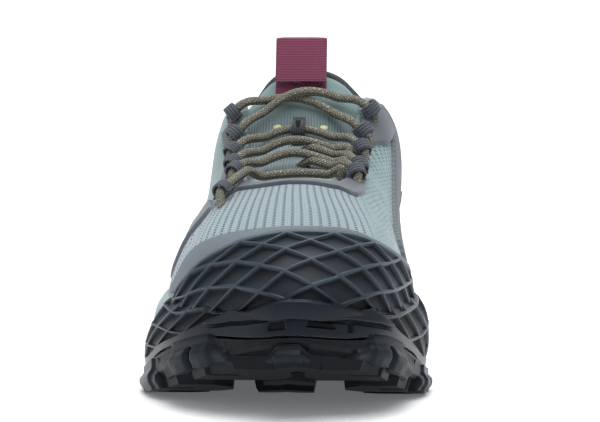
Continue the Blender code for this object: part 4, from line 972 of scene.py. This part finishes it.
# Insole
# A cut foam footbed under a dark cloth, loose in the shoe and cupped round the heel.
INSOLE_THICKNESS = 0.004
INSOLE_CUP = 0.003
insole_rows = np.linspace(0.75, 9.3, 120)
inner_line, outer_line = feather(insole_rows) + CENTRE, feather(-insole_rows) + CENTRE
inset = (UPPER_WALL + 0.004) / np.linalg.norm(inner_line - outer_line, axis=-1)
share = inset[:, None] + (1.0 - 2.0 * inset)[:, None] * shares(40)
insole_low = outer_line[:, None, :] + (inner_line - outer_line)[:, None, :] * share[..., None]
insole_low[..., 2] += 2 * GAP
insole_high = insole_low + [0.0, 0.0, INSOLE_THICKNESS]
cup = smooth(0.36, 0.5, np.abs(share - 0.5)) * smooth(4.5, 8.0, insole_rows)[:, None]
insole_high[..., 2] += INSOLE_CUP * cup
insole_ring = np.concatenate([insole_high, insole_low[:, ::-1]], axis=1)
caps = [np.broadcast_to(insole_ring[k].mean(axis=0), insole_ring[k].shape)[None] for k in (0, -1)]
cloth = Finish("footbed cloth", roughness=0.92, sheen_weight=0.2)
cloth_weave = cloth.along("X").wave(0.0011) * cloth.along("Y").wave(0.0011)
cloth.shows(cloth.coats((70, 78, 82), (cloth_weave, (94, 102, 105))), height=cloth_weave, depth=0.00015)
insole = surface("footbed", np.concatenate([caps[0], insole_ring, caps[1]]), cloth, wrap=(False, True))
worn(insole, "insole", "insole")

# Laces
# One round cord, braided from grey-brown yarn with pale and dark flecks. It runs from
# the last loop by the toe through the webbing loops on both sides up to the top ones.
LACE_DIAMETER = 0.0038
LACE_RADIUS = 0.47 * LACE_DIAMETER
LACE_SINK = 0.0062
# CAD node, row and place across of both ends, bow in rows, lift over another run in diameters
BARS = [
    ("lace_top", 6.35, -1.15, 5.8, 1.15, 0.36, 0.0),
    ("lace_top", 5.8, -1.15, 6.35, 1.15, 0.38, 0.95),
    ("lace_second", 4.95, -1.15, 4.95, 1.15, 0.8, 0.0),
    ("lace_third", 4.15, -1.13, 4.62, 0.92, 0.42, 0.7),
    ("lace_third", 5.02, -0.25, 4.0, 1.13, 0.06, 0.0),
    ("lace_fourth", 3.42, -1.12, 3.78, 0.92, 0.48, 0.7),
    ("lace_fourth", 4.3, -0.25, 3.34, 1.13, 0.04, 0.0),
    ("lace_fifth", 2.5, -1.28, 3.0, 0.92, 0.15, 0.0),
]


def lace_route(bar, share):
    """Row, place across and height of a lace run: bowed over the tongue, its ends sunk."""
    _, start_row, start_across, end_row, end_across, bow, lift = bar
    rows = start_row + (end_row - start_row) * share + bow * 4.0 * share * (1.0 - share)
    across = start_across + (end_across - start_across) * share
    low, high = 0.5 * LACE_DIAMETER - UPPER_WALL + GAP, 0.5 * LACE_DIAMETER + FILM_THICKNESS + 5 * GAP
    height = low + (high - low) * smooth(0.5, 0.95, np.abs(across))
    height = height + lift * LACE_DIAMETER * ripple(share, 0.5, 0.22)
    sunk = smooth(0.034, 0.0, np.minimum(share, 1.0 - share))
    if abs(start_across) < 0.5:
        sunk = np.maximum(sunk, smooth(0.36, 0.1, share))
    return rows, across, height - LACE_SINK * sunk


braid = Finish("braided lace", roughness=0.85)
lace_turn, lace_walked = braid.attribute("turn"), braid.attribute("walked")
twist, travel = lace_turn * 8.0, lace_walked / 0.0016
strands = (twist + travel).wave() * (twist - travel).wave()
fleck_place = braid.node("ShaderNodeCombineXYZ", {}, {0: lace_turn * 9.0, 1: lace_walked / 0.0008})
flecks = braid.noise(1.0, 1.0, fleck_place)
braid_colour = braid.coats(
    (100, 98, 88),
    (strands, (164, 160, 144)),
    (flecks.rise(0.6, 0.68) * 0.7, (196, 192, 176)),
    (flecks.rise(0.38, 0.3) * 0.7, (56, 55, 50)),
)
braid.shows(braid_colour, height=strands, depth=0.0004)
for number, bar in enumerate(BARS):
    line = saddle_place(*lace_route(bar, shares(150)))
    lace = cord_tube(f"{bar[0]}_cord_{number}", line, LACE_RADIUS, braid)
    is_first = bar[0] not in [other[0] for other in BARS[:number]]
    worn(lace, "lace", *([bar[0]] if is_first else []))

# Lace loops
# Folded strips of ribbed grey webbing, sewn on the eyestays, with the lace running
# through them instead of through metal eyelets.
WEBBING_THICKNESS = 0.0011
WEBBING_WIDTH = 0.0052
LOOP_PLACE = 0.042
LOOP_FOOT = 0.0012
webbing = Finish("grey webbing", roughness=0.8)
webbing_ribs, webbing_grain = webbing.attribute("across").wave(0.25), webbing.attribute("walked").wave(0.0007)
webbing_colour = webbing.coats((66, 71, 79), (webbing_ribs * 0.8 + webbing_grain * 0.2, (92, 98, 106)))
webbing.shows(webbing_colour, height=webbing_ribs + webbing_grain * 0.3, depth=0.0004)


def ribbon(name, line, lift, across, width, finish):
    """A closed strip of webbing with soft edges, along a line, turned by its lift vectors."""
    turn = np.linspace(0.0, 2.0 * math.pi, 28, endpoint=False)
    wide, deep = np.sign(np.cos(turn)) * np.abs(np.cos(turn)) ** 0.35, np.sin(turn)
    spot = 0.5 * width * wide[:, None] * across[:, None, :]
    spot = spot + 0.5 * WEBBING_THICKNESS * deep[:, None] * lift[:, None, :]
    place = line[:, None, :] + spot
    caps = [np.broadcast_to(line[k], place[k].shape)[None] for k in (0, -1)]
    walked = way_along(line)[:, None]
    return surface(
        name,
        np.concatenate([caps[0], place, caps[1]]),
        finish,
        wrap=(False, True),
        facing=np.pad(spot, ((1, 1), (0, 0), (0, 0))),
        walked=np.concatenate([walked[:1], walked, walked[-1:]]),
        across=wide * 0.5 + 0.5,
    )


def bridge(name, place, along, lift, width, foot, node, finish):
    """A loop of webbing that arches over a cord, with a flat foot on either side."""
    lift = unit(lift - along * np.dot(lift, along))
    side = np.cross(along, lift)
    radius = 0.5 * LACE_DIAMETER + 2 * GAP + 0.5 * WEBBING_THICKNESS
    floor = 0.5 * LACE_DIAMETER - 0.5 * WEBBING_THICKNESS
    angle, reach = np.linspace(math.pi, 0.0, 25), radius + foot
    across = np.concatenate([[-reach, -radius], radius * np.cos(angle), [radius, reach]])
    height = np.concatenate([[-floor, -0.7 * floor], radius * np.sin(angle), [-0.7 * floor, -floor]])
    line = place + side * across[:, None] + lift * height[:, None]
    normal = np.cross(unit(np.gradient(line, axis=0)), along)
    worn(ribbon(name, line, normal, np.broadcast_to(along, line.shape), width, finish), "grey_webbing", node)


counts = {"lateral": 0, "medial": 0}
for bar in BARS:
    for share, end, side in ((LOOP_PLACE, bar[2], "lateral"), (1.0 - LOOP_PLACE, bar[4], "medial")):
        if abs(end) > 1.0:
            counts[side] += 1
            rows, across, height = lace_route(bar, share)
            place, base = saddle_place(rows, across, height), saddle_place(rows, across, 0.0)
            before, after = saddle_place(*lace_route(bar, np.array([share - 0.008, share + 0.02])))
            node = f"lace_loop_{side}_{counts[side]}"
            along = unit(after - before)
            bridge(node + "_web", place, along, place - base, WEBBING_WIDTH, LOOP_FOOT, node, webbing)

# Lace keeper
# A short loop of the same webbing on the middle of the tongue, folded to a point, which
# holds the second lace run.
KEEPER_WIDTH = 0.0054
KEEPER_FOOT = 0.0048
KEEPER_MIDDLE = 0.0097
KEEPER_HOLE = (0.2, 0.0031)
keeper_webbing = Finish("keeper webbing", roughness=0.8)
keeper_across, keeper_walked = keeper_webbing.attribute("across"), keeper_webbing.attribute("walked")
keeper_ribs = keeper_across.wave(0.14)
# The teardrop hole is not cut: it is painted near-black, painted shade, and sunk in the bump.
sideways = (keeper_across - 0.5) / KEEPER_HOLE[0]
lengthways = (keeper_walked - KEEPER_MIDDLE) / KEEPER_HOLE[1]
keeper_hole = (sideways * sideways + lengthways * lengthways).rise(1.15, 0.85)
keeper_colour = keeper_webbing.coats((58, 64, 70), (keeper_ribs, (104, 110, 116)), (keeper_hole, (5, 6, 8)))
keeper_webbing.shows(keeper_colour, height=keeper_ribs - keeper_hole * 2.0, depth=0.0004)
rows, across, height = lace_route(BARS[2], 0.5)
place = saddle_place(rows, across, height)
lift, along = place - saddle_place(rows, across, -UPPER_WALL), np.array([1.0, 0.0, 0.0])
bridge("lace_keeper_web", place, along, lift, KEEPER_WIDTH, KEEPER_FOOT, "lace_keeper", keeper_webbing)

# Pull loop
# A wide strip of wine webbing with cross ribs, folded over and sewn to the tongue's
# front with a zigzag bar. It stands up above the rim, and it is bare.
TAB_WIDTH = 0.0215
TAB_HEIGHT = 0.024
TAB_SHIFT = (0.0011, 0.0056, 0.0052)
TAB_FOLD = 0.5 * (WEBBING_THICKNESS + 0.0016)
TACK_HEIGHT = 0.0042
TACK_DEPTH = 0.0034
tab_start = saddle_place(6.3, -0.05, -UPPER_WALL + 0.001) + TAB_SHIFT
lean = unit(np.array([0.0, 0.4, 1.0]))
forward = unit(np.cross([1.0, 0.0, 0.0], lean))
climb = np.linspace(0.0, TAB_HEIGHT, 60)[:, None]
fold_turn = np.linspace(0.0, math.pi, 20)[1:-1, None]
front_run = tab_start + lean * climb - forward * TAB_FOLD
folded = lean * (TAB_HEIGHT + TAB_FOLD * np.sin(fold_turn)) - forward * TAB_FOLD * np.cos(fold_turn)
back_run = tab_start + lean * climb[:12:-1] + forward * TAB_FOLD
tab_line = np.concatenate([front_run, tab_start + folded, back_run])
tab_normal = np.cross(unit(np.gradient(tab_line, axis=0)), [1.0, 0.0, 0.0])
wine = Finish("wine webbing", roughness=0.72, sheen_weight=0.3)
wine_across, wine_walked = wine.attribute("across"), wine.attribute("walked")
wine_ribs, wine_weave = wine_walked.wave(0.00075), wine_across.wave(0.045)
zigzag = wine_walked - TACK_HEIGHT - (wine_across * 4.0).off_middle() * 2.0 * TACK_DEPTH
bar_tack = zigzag.larger(0.0 - zigzag).rise(0.0006, 0.0003)
wine_colour = wine.coats(
    (86, 12, 48), (wine_ribs, (146, 38, 90)), (wine_weave * 0.35, (92, 22, 58)), (bar_tack, (60, 10, 34))
)
wine.shows(wine_colour, height=wine_ribs * 0.7 + wine_weave * 0.2 + bar_tack, depth=0.0003)
tab_across = np.broadcast_to([1.0, 0.0, 0.0], tab_line.shape)
worn(ribbon("pull_loop_web", tab_line, tab_normal, tab_across, TAB_WIDTH, wine), "wine_webbing", "pull_loop")
